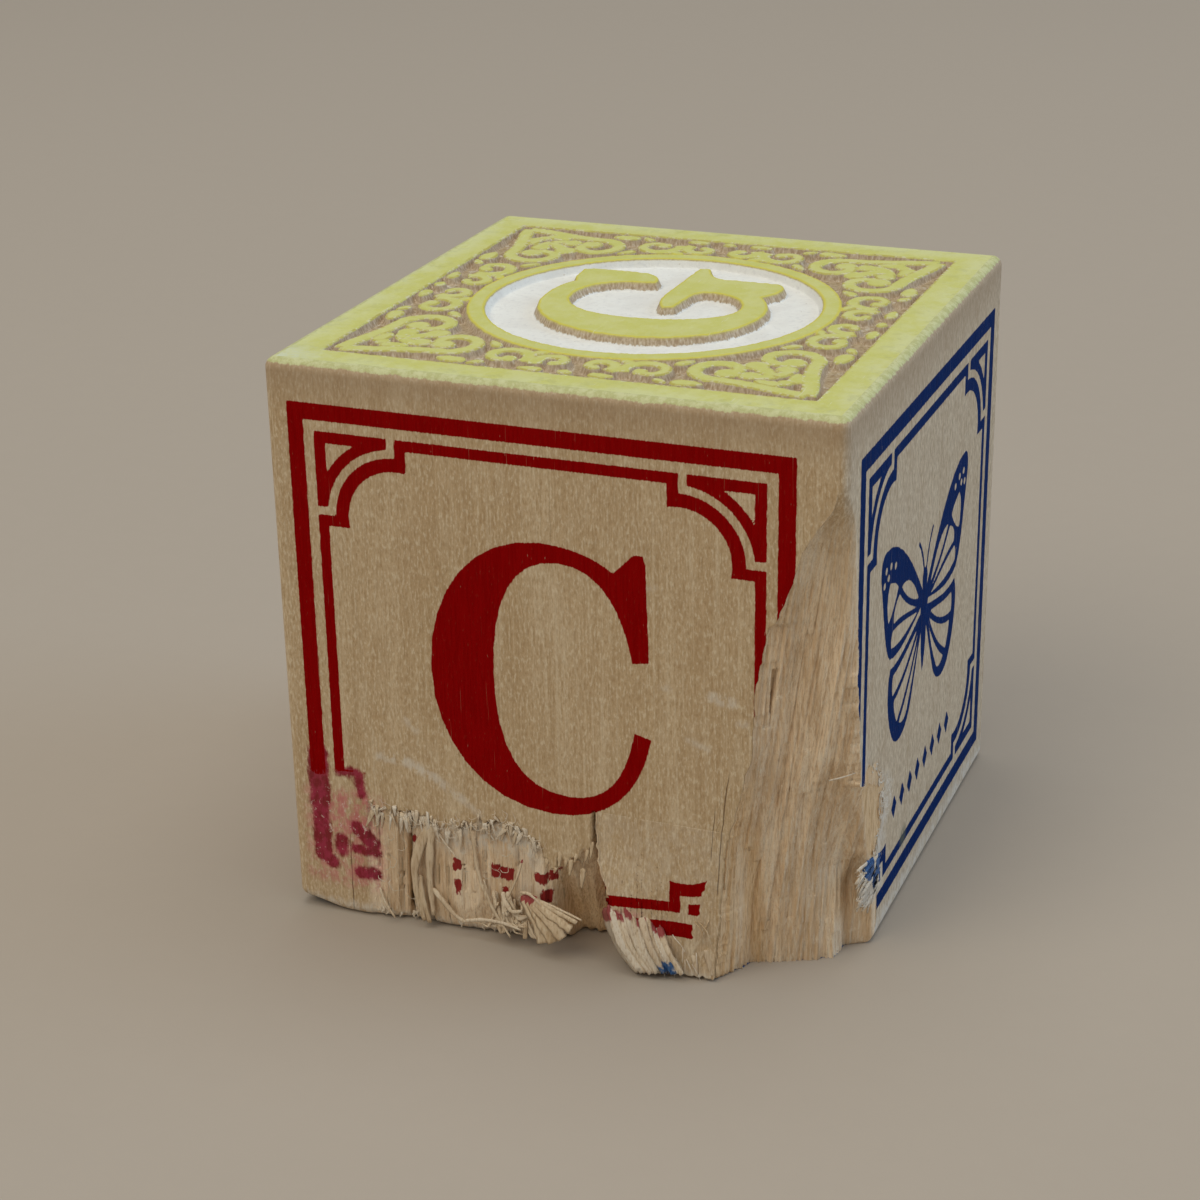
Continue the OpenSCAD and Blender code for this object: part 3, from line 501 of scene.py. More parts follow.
# Broken edge. Where the front ends at it: height, in from the left
FRONT_ENDS = [(0, 34.95), (1.4, 35.1), (6, 35.35), (9.3, 35.6), (11, 35.75), (13.5, 36.3), (15.7, 36.9),
              (18.5, 37.5), (20.2, 37.8), (22.3, 37.82), (24, 37.84), (27, 38.35), (29.4, 38.85), (29.83, 39.5),
              (33.8, 40.78), (35.5, 41.4), (37.2, 42.3), (39.5, 43.6), (45.3, 43.65)]
# Where the right face starts: height, in from the front
RIGHT_STARTS = [(0, 9.8), (2.1, 10.3), (6.5, 10.2), (8.5, 10.6), (9.8, 11.1), (11.4, 11.5), (12.9, 10.6),
                (14.0, 8.6), (15.0, 6.2), (15.6, 5.2), (20, 4.4), (27, 3.4), (31, 2.95), (34, 2.8), (39, 2.1),
                (41, 1.5), (43, 0.95), (45.3, 0.8)]
# Where the deep part ends, as the right face does
DEEP_ENDS = [(0, 9.3), (2.1, 9.3), (6.5, 8.6), (9.8, 7.6), (12.9, 6.7), (15.3, 5.8), (17, 5.3), (20, 4.4),
             (45.3, 0.8)]
# Section of the deep part, in shares of the height and of the side: height, then three points
# given by how far they lie in from the left and from the front
SECTIONS = [
    (0.00, (0.824, 0.082), (0.904, 0.116), (0.953, 0.148)),
    (0.17, (0.836, 0.064), (0.904, 0.094), (0.954, 0.168)),
    (0.28, (0.843, 0.052), (0.906, 0.080), (0.963, 0.130)),
    (0.40, (0.858, 0.036), (0.912, 0.064), (0.968, 0.088)),
    (0.53, (0.889, 0.030), (0.930, 0.052), (0.973, 0.066)),
    (0.66, (0.919, 0.022), (0.948, 0.038), (0.978, 0.052)),
    (0.77, (0.944, 0.018), (0.962, 0.030), (0.983, 0.044)),
    (0.86, (0.970, 0.010), (0.978, 0.015), (0.988, 0.022))]
# Nook at the foot of the section, before its deep part ends
NOOK = (42.2, 8.35)
# Torn patch that runs on over the right face: in from the front, height
TORN_PATCH = [(5.75, 15.0), (6.1, 16.2), (6.7, 16.7), (8.0, 16.2), (9.5, 15.5), (10.6, 14.4), (11.5, 13.0),
              (11.9, 11.4), (11.3, 9.6), (10.5, 8.4), (8.0, 8.0), (6.2, 11.0)]
TORN_DEPTH = 0.10


def front_reach(z):
    z = np.asarray(z, float)
    jag = 0.12 * noise(z / 1.6, 0, 31) + 0.06 * (cell(z / 0.7, 0, 32) - 0.5) + 0.05 * noise(z / 0.3, 0, 33)
    return read(FRONT_ENDS, z) + jag * between(0.3, 1.5, 36, 39, z)


def right_reach(z):
    z = np.asarray(z, float)
    jag = 0.24 * noise(z / 1.3, 0, 41) + 0.16 * (cell(z / 0.6, 0, 42) - 0.5) + 0.10 * noise(z / 0.3, 0, 43)
    return read(RIGHT_STARTS, z) + jag * between(0.3, 1.5, 36, 40, z) * (1 + 1.9 * between(3, 5, 15.5, 17.5, z))


def right_torn(d, z):
    """Share by which the right face is torn beside the break."""
    gap = poly_sdf(np.stack([d.ravel(), z.ravel()], -1), TORN_PATCH).reshape(d.shape)
    gap = gap + 0.30 * noise(d / 0.6, z / 0.8, 45) + 0.18 * noise(d / 0.2, z / 0.5, 46)
    return smooth(0.10, -0.45, gap)


# Chewed lower front edge, by how far in from the left. Upper line of the band: place, height
CHEW_LINE = [(6.2, 8.0), (6.5, 10.4), (7.6, 9.6), (9.0, 9.9), (10.2, 10.1), (11.6, 9.7), (12.8, 9.3), (14.2, 9.6),
             (15.4, 10.1), (17.0, 10.2), (18.6, 10.4), (19.6, 10.0), (20.6, 9.3), (21.6, 7.4), (22.3, 6.9),
             (22.6, 8.5), (23.4, 7.7), (23.9, 8.5), (24.4, 7.2), (24.8, 8.9), (25.2, 9.6), (25.6, 12.0)]
# Bite out of the bottom: place, depth at the foot, height
BITE = [(5.5, 0.0, 1.0), (6.7, 0.12, 1.6), (8.4, 0.30, 2.2), (9.6, 0.65, 2.8), (13.3, 0.45, 2.9),
        (16.2, 0.80, 3.3), (20.0, 1.33, 3.9), (22.2, 2.0, 5.0), (23.0, 2.6, 7.6), (24.2, 3.4, 8.9),
        (25.6, 3.9, 9.4)]
# Boards that the chewed wood has split into: right edge, depth. The last one has no edge.
BOARDS = [(6.4, 0.05), (7.25, 0.14), (8.1, 0.10), (9.1, 0.20), (9.72, 0.60), (10.05, 0.95), (11.5, 0.30),
          (12.3, 0.22), (13.1, 0.30), (14.35, 0.24), (15.3, 0.38), (16.2, 0.16), (17.4, 0.30), (18.9, 0.18),
          (20.3, 0.42), (21.3, 0.34), (22.3, 0.55)]
LAST_BOARD = 0.60
# Deep cracks: line of height and place, half width, depth
SPLITS = [([(0.4, 9.62), (2, 9.68), (6.8, 9.80), (8.2, 9.95)], 0.12, 1.7),
          ([(-0.5, 11.45), (2, 11.35), (6.5, 11.5)], 0.12, 0.6),
          ([(7.0, 25.3), (9.0, 25.45), (11.0, 25.5), (13.0, 25.4)], 0.14, 1.1)]


def chew_top(u):
    u = np.asarray(u, float)
    tooth = 0.55 * np.abs(noise(u / 0.40, 0, 51)) - 0.2 + 0.30 * (cell(u / 0.28, 0, 52) - 0.5)
    return read(CHEW_LINE, u) + tooth * between(6.2, 7.0, 24.9, 25.5, u)


def bite_foot(u):
    """Depth of the bite at the very bottom."""
    return read([(place, depth) for place, depth, _ in BITE], u)


def board_relief(u, z, under):
    """Depth of the split boards, the seams between them, and where their surface is fluffed up."""
    lean = u - 0.035 * (z - 5) + 0.05 * noise(z / 2.2, u / 2, 61)
    edges, depths = np.transpose(BOARDS)
    board = np.searchsorted(edges, lean)
    gap = np.min(np.abs(lean[..., None] - edges), -1)
    shift = noise(z / 2.5, board, 62)
    depth = np.append(depths, LAST_BOARD)[board] + 0.22 * hump(gap, 0, 0.06) * (shift > -0.3)
    depth = depth + 0.07 * noise(u / 0.16, z / 2.5, 64) + 0.03 * noise(u / 0.08, z / 0.9, 68)
    fluff = smooth(3.4, 0.4, under) * between(9.5, 12, 20, 22, u)
    depth = lerp(depth, 0.16 + 0.10 * noise(u / 0.35, z / 0.7, 69), 0.8 * fluff)
    return depth, hump(gap, 0, 0.07) * (shift > 0.0) * (1 - fluff)


def bite_depth(u, z):
    height = read([(place, top) for place, _, top in BITE], u) + 0.5 * noise(u / 0.5, 0, 65)
    depth = bite_foot(u) * np.clip((height - z) / height, 0, 1) ** 0.8
    return depth * between(5.5, 6.5, 25.55, 25.65, u) * (1 + 0.12 * noise(u / 0.35, z / 5, 66))


def notch_depth(u, z, under):
    """The notch beside the flap."""
    inside = smooth(21.3, 22.5, u + 0.10 * z - 0.4) * (1 - smooth(25.5, 25.62, u))
    depth = (0.50 + np.clip(under, 0, 12) * 0.4) * inside * smooth(0, 0.12, under)
    depth = depth + 0.06 * noise(u / 0.30, z / 6, 67) * inside * (under > 0)
    return np.where(u > 21.2, depth, 0)


def crack(u, z, line, half, depth):
    """A groove along a line, deepest in its middle."""
    low, high = line[0][0], line[-1][0]
    width = half * between(low - 0.4, low + 1.2, high - 1.5, high, z) + 1e-6
    return depth * hump(u, read(line, z), width) * (width > half * 0.05)


def front_depth(u, z):
    """How far the front is gone, how torn it is there, and the painted shade in its cracks, seams and nicks."""
    under = chew_top(u) - z
    below = smooth(0.0, 0.15, under) * between(6.2, 6.7, 25.55, 25.62, u)
    boards, seams = board_relief(u, z, under)
    depth = np.maximum(boards, 0.02) * below * (0.7 + 0.3 * smooth(0, 3.5, under))
    bite = bite_depth(u, z)
    depth = np.maximum(depth, bite + 0.12 * below * (bite > 0))
    depth = np.maximum(depth, notch_depth(u, z, under))
    behind_flap = np.clip(FLAP_H - z, 0, None) / FLAP_H * 2.6 * between(25.5, 25.6, 33.4, 34.6, u)
    depth = np.maximum(depth, behind_flap)
    hollow = np.clip(sum(crack(u, z, *split) for split in SPLITS), 0, 3)
    nick = below * smooth(0.75, 0.0, under) * (cell(u / 0.55, 0, 70) > 0.72) * (u < 20)
    # painted shade in the cracks, the seams between the boards and the nicks
    dark = np.maximum(np.clip(hollow / 0.5, 0, 1), below * 0.6 * seams)
    return depth + hollow + 0.3 * nick, np.clip(depth / 0.12, 0, 1), np.maximum(dark, nick)


# The block's skin as a stack of level outlines, walked from the left front corner by the right to the back
ARC_STEPS, FRONT_STEPS, BREAK_STEPS, RIGHT_STEPS, BACK_STEPS = 7, 260, 200, 230, 205
# Share of the break's points that its deep part takes, and that part's last guide point
DEEP_SHARE, DEEP_GUIDE = 0.78, 5


def levels():
    low = ROUND * (1 - np.cos(np.linspace(0, math.pi / 2, 9)))
    body = np.concatenate([np.arange(ROUND, 14.0, 0.10), np.arange(14.0, HEIGHT - ROUND, 0.15)])
    return np.concatenate([low[:-1], body, HEIGHT - low[::-1]])


def corner_section(x, y, start, radius):
    a = start + np.linspace(0, math.pi / 2, ARC_STEPS + 2)[None, 1:-1]
    return x + radius * np.cos(a), y + radius * np.sin(a)


def front_section(z, inset):
    u = ROUND + (front_reach(z) - ROUND) * np.linspace(0, 1, FRONT_STEPS)
    depth, torn, dark = front_depth(u, np.broadcast_to(z, u.shape))
    return u - HALF, inset - HALF + depth, torn, dark, np.clip(depth / 3.5, 0, 1)


def right_section(z, inset):
    start = right_reach(z)
    d = start + (SIDE - ROUND - start) * np.linspace(0, 1, RIGHT_STEPS)
    torn = right_torn(d, np.broadcast_to(z, d.shape))
    relief = TORN_DEPTH * torn * (1 + 0.5 * noise(d / 0.25, z / 1.5, 47))
    return HALF - inset - relief, d - HALF, torn, 0, 0.9 * torn


def break_guides(z, inset, shallow):
    """Points that the break's section runs through, as far in from the left and from the front."""
    front, right = front_reach(z), right_reach(z)
    deep_end = np.minimum(read(DEEP_ENDS, z), right - 0.05)
    side = SIDE - inset
    guides = [np.stack([front, inset], 1)]
    for k in (1, 2, 3):
        lines = ([(row[0], row[k][axis]) for row in SECTIONS] for axis in (0, 1))
        guides.append(np.stack([read(line, z / HEIGHT) * SIDE for line in lines], 1))
    end = np.stack([side - 0.26 * shallow, deep_end], 1)
    guides.append(lerp(0.5 * (guides[3] + end), np.array(NOOK), smooth(9.0, 5.0, z)[:, None]))
    guides.append(end)
    edge_torn = right_torn(right, z)
    guides.append(np.stack([side - TORN_DEPTH * np.maximum(shallow, edge_torn), right - 0.04], 1))
    guides.append(np.stack([side - TORN_DEPTH * edge_torn, right], 1))
    guides = np.stack(guides, 1)
    # the break runs out into the plain rounded corner near the top
    a = np.linspace(-math.pi / 2, 0, guides.shape[1])
    radius = (ROUND - inset)[:, None]
    arc = np.stack([SIDE - ROUND + radius * np.cos(a), ROUND + radius * np.sin(a)], -1)
    blend = smooth(37.0, 40.5, z)[:, None, None]
    return guides * (1 - blend) + arc * blend


def break_line(guides, along):
    """The section at each level, with its corners rounded a little."""
    run = np.cumsum(np.linalg.norm(np.diff(guides, axis=1), axis=2), 1)
    run = np.concatenate([np.zeros((len(run), 1)), run], 1) / np.maximum(run[:, -1:], 1e-9)
    line = np.empty((2, len(run), len(along)))
    for level, (share_of_run, points) in enumerate(zip(run, guides)):
        at = np.interp(along, [0, DEEP_SHARE, 1], [0, share_of_run[DEEP_GUIDE], 1])
        line[:, level] = [np.interp(at, share_of_run, points[:, axis]) for axis in (0, 1)]
    for _ in range(5):
        line[..., 1:-1] = (line[..., :-2] + 2 * line[..., 1:-1] + line[..., 2:]) / 4
    return line


def break_relief(x, y, z):
    """Height of the split wood over the section, and its thin slits."""
    w = 0.75 * x + 0.66 * y - 0.055 * z
    strand = w / 0.55 + 0.5 * noise(z / 6, w / 3, 71)
    ledge = cell(strand, (z + 20 * cell(strand, 0, 73)) / (5 + 9 * cell(strand, 0, 72)), 74)
    wide = 0.5 + 0.5 * noise(w / 1.5, z / 16, 75)
    rib = hump(w, 30.3, 0.5) * smooth(9, 15, z) + 0.7 * hump(w, 27.6, 0.35) * smooth(14, 18, z)
    fine = w + 0.03 * noise(z / 4, w, 82)
    slit = np.clip(0.25 - np.abs(noise(fine / 0.45, z / 13, 81)), 0, 0.25) / 0.25
    relief = 0.20 * (wide - 0.5) + 0.20 * (ledge - 0.5) + 0.12 * noise(w / 0.40, z / 16, 78) - 0.20 * rib
    relief = relief + 0.11 * noise(fine / 0.22, z / 9, 79) + 0.06 * noise(fine / 0.11, z / 4, 80) - 0.06 * slit
    return relief, slit


def gash_in_break(x, z):
    place = read([(22.4, 38.75), (25.9, 39.20)], z)
    half = read([(22.4, 0.02), (24.0, 0.10), (25.9, 0.20)], z)
    return smooth(1.5, 0.5, np.abs(x - place) / half) * between(22.2, 22.8, 25.8, 26.0, z)


def break_warmth_and_painted_light(x, z, along, shallow):
    """How deep and warm in tone the break's wood is: partly the torn wood's own tone, partly painted warm light
    where the cool lamp and the hollow's shade grey it.
    """
    lean = x + 0.02 * z
    warm = hump(lean, 37.0, 0.9) * (1 - smooth(11, 17, z)) * smooth(0.0, 0.06, along)
    warm = np.maximum(warm, 1.2 * smooth(0.20, 0.05, along) * (1 - smooth(15, 19, z)))
    return np.maximum(warm, 1.5 * smooth(0.76, 0.82, along) * shallow * smooth(6, 9, z))


def break_section(z, inset):
    along = np.linspace(0, 1, BREAK_STEPS + 2)[1:-1]
    # beside the deep part a shallow tear runs on to the right face
    right = right_reach(z)
    shallow = smooth(0.1, 2.5, right - np.minimum(read(DEEP_ENDS, z), right - 0.05))
    guides = break_guides(z[:, 0], inset[:, 0], shallow[:, 0])
    x, y = break_line(guides, along)
    z = np.broadcast_to(z, x.shape)
    dx, dy = np.gradient(x, axis=1), np.gradient(y, axis=1)
    length = np.hypot(dx, dy) + 1e-9
    out_x, out_y = dy / length, -dx / length
    relief, slit = break_relief(x, y, z)
    ending = smooth(DEEP_SHARE - 0.08, DEEP_SHARE, along) * (1 - 0.7 * shallow)
    fade = between(0, 0.035, 0.965, 1, along) * (1 - ending)
    width = guides[:, -1:, 0] - guides[:, :1, 0]
    scale = (1 - smooth(36.5, 40, z)) * np.clip(width / 6, 0.25, 1)
    relief = relief * fade * scale
    x, y = x + out_x * relief, y + out_y * relief
    hollow = 0.34 * hump(x + 0.02 * z, 36.9, 0.75) * between(0.5, 7.0, 11, 16, z) * smooth(0.03, 0.10, along)
    gash = gash_in_break(x, z)
    dip = 0.6 * (hollow + 0.7 * gash)
    x = np.clip(np.minimum(x, SIDE - inset) - out_x * dip, 0, SIDE - inset)
    y = np.maximum(y - out_y * dip, inset)
    low = 1 - np.clip((relief + 0.22) / 0.44, 0, 1)
    # painted shade in the low parts of the relief, the slits and the gash
    dark = np.clip(0.10 * low * scale + 0.12 * slit * scale + 0.22 * gash, 0, 1)
    warm = np.clip(0.60 * break_warmth_and_painted_light(x, z, along, shallow), 0, 1)
    return x - HALF, y - HALF, scale, dark, warm


def skin():
    """The skin's points and faces, the columns that each side takes, how torn and deep it is, and its painted
    shade.
    """
    z = levels()[:, None]
    over = np.clip(np.maximum(ROUND - z, z - HEIGHT + ROUND), 0, None)
    inset = ROUND - np.sqrt(np.clip(ROUND * ROUND - over ** 2, 0, None))
    radius = ROUND - inset
    across = FLAT - 2 * FLAT * np.linspace(0, 1, BACK_STEPS)
    sections = [("corner", corner_section(-FLAT, -FLAT, math.pi, radius)),
                ("front", front_section(z, inset)),
                ("break", break_section(z, inset)),
                ("right", right_section(z, inset)),
                ("corner", corner_section(FLAT, FLAT, 0, radius)),
                ("back", (across, HALF - inset)),
                ("corner", corner_section(-FLAT, FLAT, math.pi / 2, radius)),
                ("left", (inset - HALF, across))]
    blocks, spans, end = [], {}, 0
    for kind, values in sections:
        plain = [0] * (5 - len(values))
        blocks.append(np.broadcast_arrays(*values, *plain, z)[:5])
        start, end = end, end + blocks[-1][0].shape[1]
        spans[kind] = (start, end)
    x, y, torn, dark, deep = (np.concatenate(rows, 1) for rows in zip(*blocks))
    points = np.stack([x, y, np.broadcast_to(z, x.shape)], -1).reshape(-1, 3)
    fields = {"torn": torn.ravel(), "dark": dark.ravel(), "deep": deep.ravel()}
    return points, grid_faces(*x.shape, wrap=True), spans, end, fields


verts, faces, spans, columns, field = skin()
column = np.arange(len(verts)) % columns
U, D, Z = verts[:, 0] + HALF, verts[:, 1] + HALF, verts[:, 2]


def on_side(kind):
    start, end = spans[kind]
    return (column >= start) & (column < end)


is_front, is_right = on_side("front"), on_side("right")

# Prints of each side: shapes by name
BORDERS = {"outer_border": outer_sdf, "inner_border": inner_sdf, "corners": corners_sdf}
SIDE_PRINTS = [("front", U - HALF, FRONT_SHIFT, {"letter": letter_c_sdf}),
               ("right", D - HALF, RIGHT_SHIFT, {"butterfly": butterfly_sdf, "lozenges": lozenges_sdf}),
               ("back", HALF - U, NO_SHIFT, {"number": number_sdf}),
               ("left", HALF - D, NO_SHIFT, {"leaf": leaf_sdf})]


def side_prints():
    """Distance to each printed element, for every point of the skin."""
    out = {}
    for kind, across, shift, shapes in SIDE_PRINTS:
        at = np.flatnonzero(on_side(kind))
        points = np.stack([across[at] - shift[0], Z[at] - MID - shift[1]], 1)
        for name, shape in {**BORDERS, **shapes}.items():
            out[f"{kind}_{name}"] = np.full(len(verts), FAR)
            out[f"{kind}_{name}"][at] = shape(points)
    return out


# Bits of the old print left in the chewed band: in from the left, height
MARKS = [[(10.1, 7.3), (10.5, 7.4), (10.5, 7.8), (10.15, 7.75)],
         [(13.6, 5.5), (14.15, 5.6), (14.2, 6.3), (13.7, 6.4)],
         [(13.7, 3.4), (13.95, 3.3), (14.1, 4.5), (13.75, 4.6)],
         [(16.75, 5.45), (18.6, 5.5), (18.65, 6.4), (16.75, 6.45)],
         [(17.8, 4.0), (18.1, 4.1), (18.1, 4.75), (17.75, 4.7)],
         [(20.4, 5.6), (21.2, 5.5), (21.4, 6.4), (20.4, 6.4)],
         [(21.5, 5.95), (21.9, 6.0), (22.3, 7.0), (21.7, 6.7)],
         [(20.7, 3.95), (21.6, 3.9), (21.7, 5.0), (20.9, 4.9)]]
# Crimson smears beside the band: ends, half width
SMUDGES = [((2.55, 13.8), (2.45, 9.5), 0.88), ((2.45, 9.5), (2.50, 5.0), 0.74), ((2.6, 4.8), (3.2, 4.4), 0.62),
           ((5.95, 12.4), (6.15, 10.8), 0.44), ((4.3, 12.5), (5.7, 12.6), 0.40), ((5.5, 7.80), (6.9, 6.40), 0.62),
           ((5.35, 5.95), (7.1, 5.75), 0.44), ((4.15, 6.5), (4.15, 5.6), 0.56), ((5.6, 3.85), (6.9, 3.85), 0.56)]
# Pink haze round them: middle, half sizes, fade, strength
HAZES = [((4.6, 8.8), (1.9, 1.4), 1.3, 1.0), ((4.5, 6.6), (2.7, 3.6), 1.2, 0.75)]
# Pale scuffs of the front: ends, half width, strength
SCUFFS = [((7.9, 14.3), (10.0, 14.3), 0.25, 0.75), ((10.0, 14.3), (12.4, 13.3), 0.30, 0.80),
          ((12.4, 13.3), (14.7, 11.8), 0.25, 0.70), ((14.7, 11.8), (16.1, 10.7), 0.20, 0.45),
          ((34.8, 23.4), (36.2, 23.2), 0.35, 0.70), ((30.9, 23.7), (31.4, 23.6), 0.10, 0.60),
          ((36.8, 21.6), (37.2, 21.7), 0.15, 0.60), ((32.9, 19.8), (34.4, 19.2), 0.12, 0.50),
          ((10.2, 17.8), (11.1, 17.0), 0.15, 0.50), ((29.2, 31.0), (30.4, 31.3), 0.06, 0.45)]
# Thin cracks of the front, painted dark as the shade inside them: line of height and place, half width
CRACKS = [([(-0.5, 4.86), (3, 4.88), (8.2, 4.92)], 0.055), ([(-0.5, 7.9), (1.2, 7.85), (3.4, 7.8)], 0.05),
          ([(0.3, 9.62), (2, 9.68), (6.8, 9.80), (9.4, 10.0)], 0.14),
          ([(-0.5, 13.1), (1, 13.0), (3.6, 12.9)], 0.045),
          ([(7.0, 25.3), (9.0, 25.45), (11.0, 25.5), (13.6, 25.42)], 0.10),
          ([(4.0, 26.5), (6.5, 26.42), (9.0, 26.4)], 0.03),
          ([(7.0, 35.15), (10.5, 35.3), (14.6, 35.65), (18.6, 36.15)], 0.05),
          ([(9.8, 34.6), (12.5, 34.8), (16.0, 35.05)], 0.035),
          ([(15.0, 17.9), (18.0, 17.95), (24.0, 18.0)], 0.012),
          ([(30.0, 22.6), (36.0, 22.5), (41.0, 22.55)], 0.012)]


def crack_fields(u, z):
    """How far right of the nearest crack's middle a point is, and that crack's half width there."""
    across, wide = np.full(u.shape, FAR), np.zeros(u.shape)
    for line, half in CRACKS:
        low, first = line[0]
        high = line[-1][0]
        width = half * between(low, low + 1.0, high - 3.0, high, z)
        off = u - read(line, z) - 0.04 * noise(z / 0.9, first, 94)
        closer = np.abs(off) < np.abs(across)
        across, wide = np.where(closer, off, across), np.where(closer, width, wide)
    return across, wide


def ink_field():
    """Distance to the nearest ink, where none is lost to the band, the smears and the break."""
    wobble = 0.35 * noise(U / 1.2, Z / 1.2, 91)
    band = np.minimum(np.clip(chew_top(U) - Z, -FAR, FAR), np.minimum(U - 6.5, 25.5 - U))
    smears = np.minimum(12.5 - Z + 2 * wobble, 7.2 - U)
    foot = np.where(Z < 12, U - 33.9, -FAR)
    gone = np.where(is_front, np.maximum(np.maximum(band, smears), foot), -FAR)
    gone = np.where(is_right, 3.0 * field["torn"] - 1.0, gone)
    return np.maximum(joined(*prints.values()), np.clip(gone, -FAR, FAR))


def rub_field():
    """Where the prints are worn thin."""
    to_break, from_break = front_reach(Z) - U, D - right_reach(Z)
    front = np.maximum(0.30 * (1 - smooth(0.0, 0.5, to_break)),
                       0.7 * (1 - smooth(12.2, 13.2, Z)) * (1 - smooth(6.6, 7.4, U)))
    right = np.maximum(0.50 * (1 - smooth(0.0, 0.7, from_break)),
                       0.75 * smooth(2.6, 0.6, from_break) * smooth(18, 13, Z) * smooth(4.5, 6.5, Z))
    return front * is_front + right * is_right


def white_field(at):
    """Whitened wood: under the torn edge, along the bottom, and where the right face is scuffed."""
    under, from_break = chew_top(U) - Z, D - right_reach(Z)
    start, end = spans["break"]
    share_of_break = (column - start) / (end - start)
    edge = smooth(0.1, 0.4, under) * smooth(3.6, 1.2, under) * between(11.0, 14.5, 20.0, 21.5, U)
    bottom = 0.9 * smooth(1.3, 0.5, Z - 0.3 * noise(U / 0.6, 0, 93)) * (1 - smooth(22, 23, U))
    beside = smooth(3.4, 0.3, from_break) * smooth(19.5, 15, Z) * smooth(2.5, 5, Z) * (1 - 0.75 * field["torn"])
    foot = 1.1 * smooth(2.4, 0.9, Z - 0.25 * noise(D / 0.8, 0, 95))
    corner = 0.4 * smooth(0.92, 0.99, share_of_break) * smooth(9.5, 7.5, Z) * smooth(3, 6, Z)
    white = is_front * np.maximum(edge, bottom) + is_right * np.maximum(beside, foot) + on_side("break") * corner
    scuffs = [strength * smooth(0.35, -0.15, segment_sdf(at, *ends)) for *ends, strength in SCUFFS]
    white[is_front] = np.maximum(white[is_front], np.max(scuffs, 0))
    return white


def front_only(values, elsewhere):
    """A field given for the front's points alone, with one value elsewhere."""
    out = np.full(len(verts), float(elsewhere))
    out[is_front] = values
    return out


def surface_fields():
    at = np.stack([U, Z], 1)[is_front]
    haze = [strength * smooth(fade, 0.0, box_sdf(at - middle, *half)) for middle, half, fade, strength in HAZES]
    across, wide = crack_fields(U, Z)
    return {"crack_across": across, "crack_wide": wide * is_front,
            "ink": ink_field(), "rub": rub_field(), "white": white_field(at),
            "mark": front_only(joined(*(poly_sdf(at, mark) for mark in MARKS)), FAR),
            "smudge": front_only(joined(*(segment_sdf(at, *smudge) for smudge in SMUDGES)), FAR),
            "haze": front_only(np.max(haze, 0), 0),
            "smut": is_right * smooth(0.9, 0.1, np.hypot((D - 17.6) / 1.6, (Z - 5.2) / 1.5))}


def worn_corner(points):
    """The lower front left corner, worn round."""
    near = smooth(4.6, 0.0, np.hypot(points[:, 0] + HALF, points[:, 1] + HALF))
    out = points.copy()
    out[:, 2] += 0.75 * near * np.clip(1 - points[:, 2] / 5.0, 0, 1)
    return out


prints = side_prints()
field.update(surface_fields())
verts = worn_corner(verts)
normals = vertex_normals(verts, faces)


# Materials
class Wire:
    """An output socket whose sums and products are Math nodes."""

    def __init__(self, nodes, socket):
        self.nodes, self.socket = nodes, socket

    def __add__(self, other):
        return self.nodes.math("ADD", self, other)

    def __sub__(self, other):
        return self.nodes.math("SUBTRACT", self, other)

    def __rsub__(self, other):
        return self.nodes.math("SUBTRACT", other, self)

    def __mul__(self, other):
        return self.nodes.math("MULTIPLY", self, other)


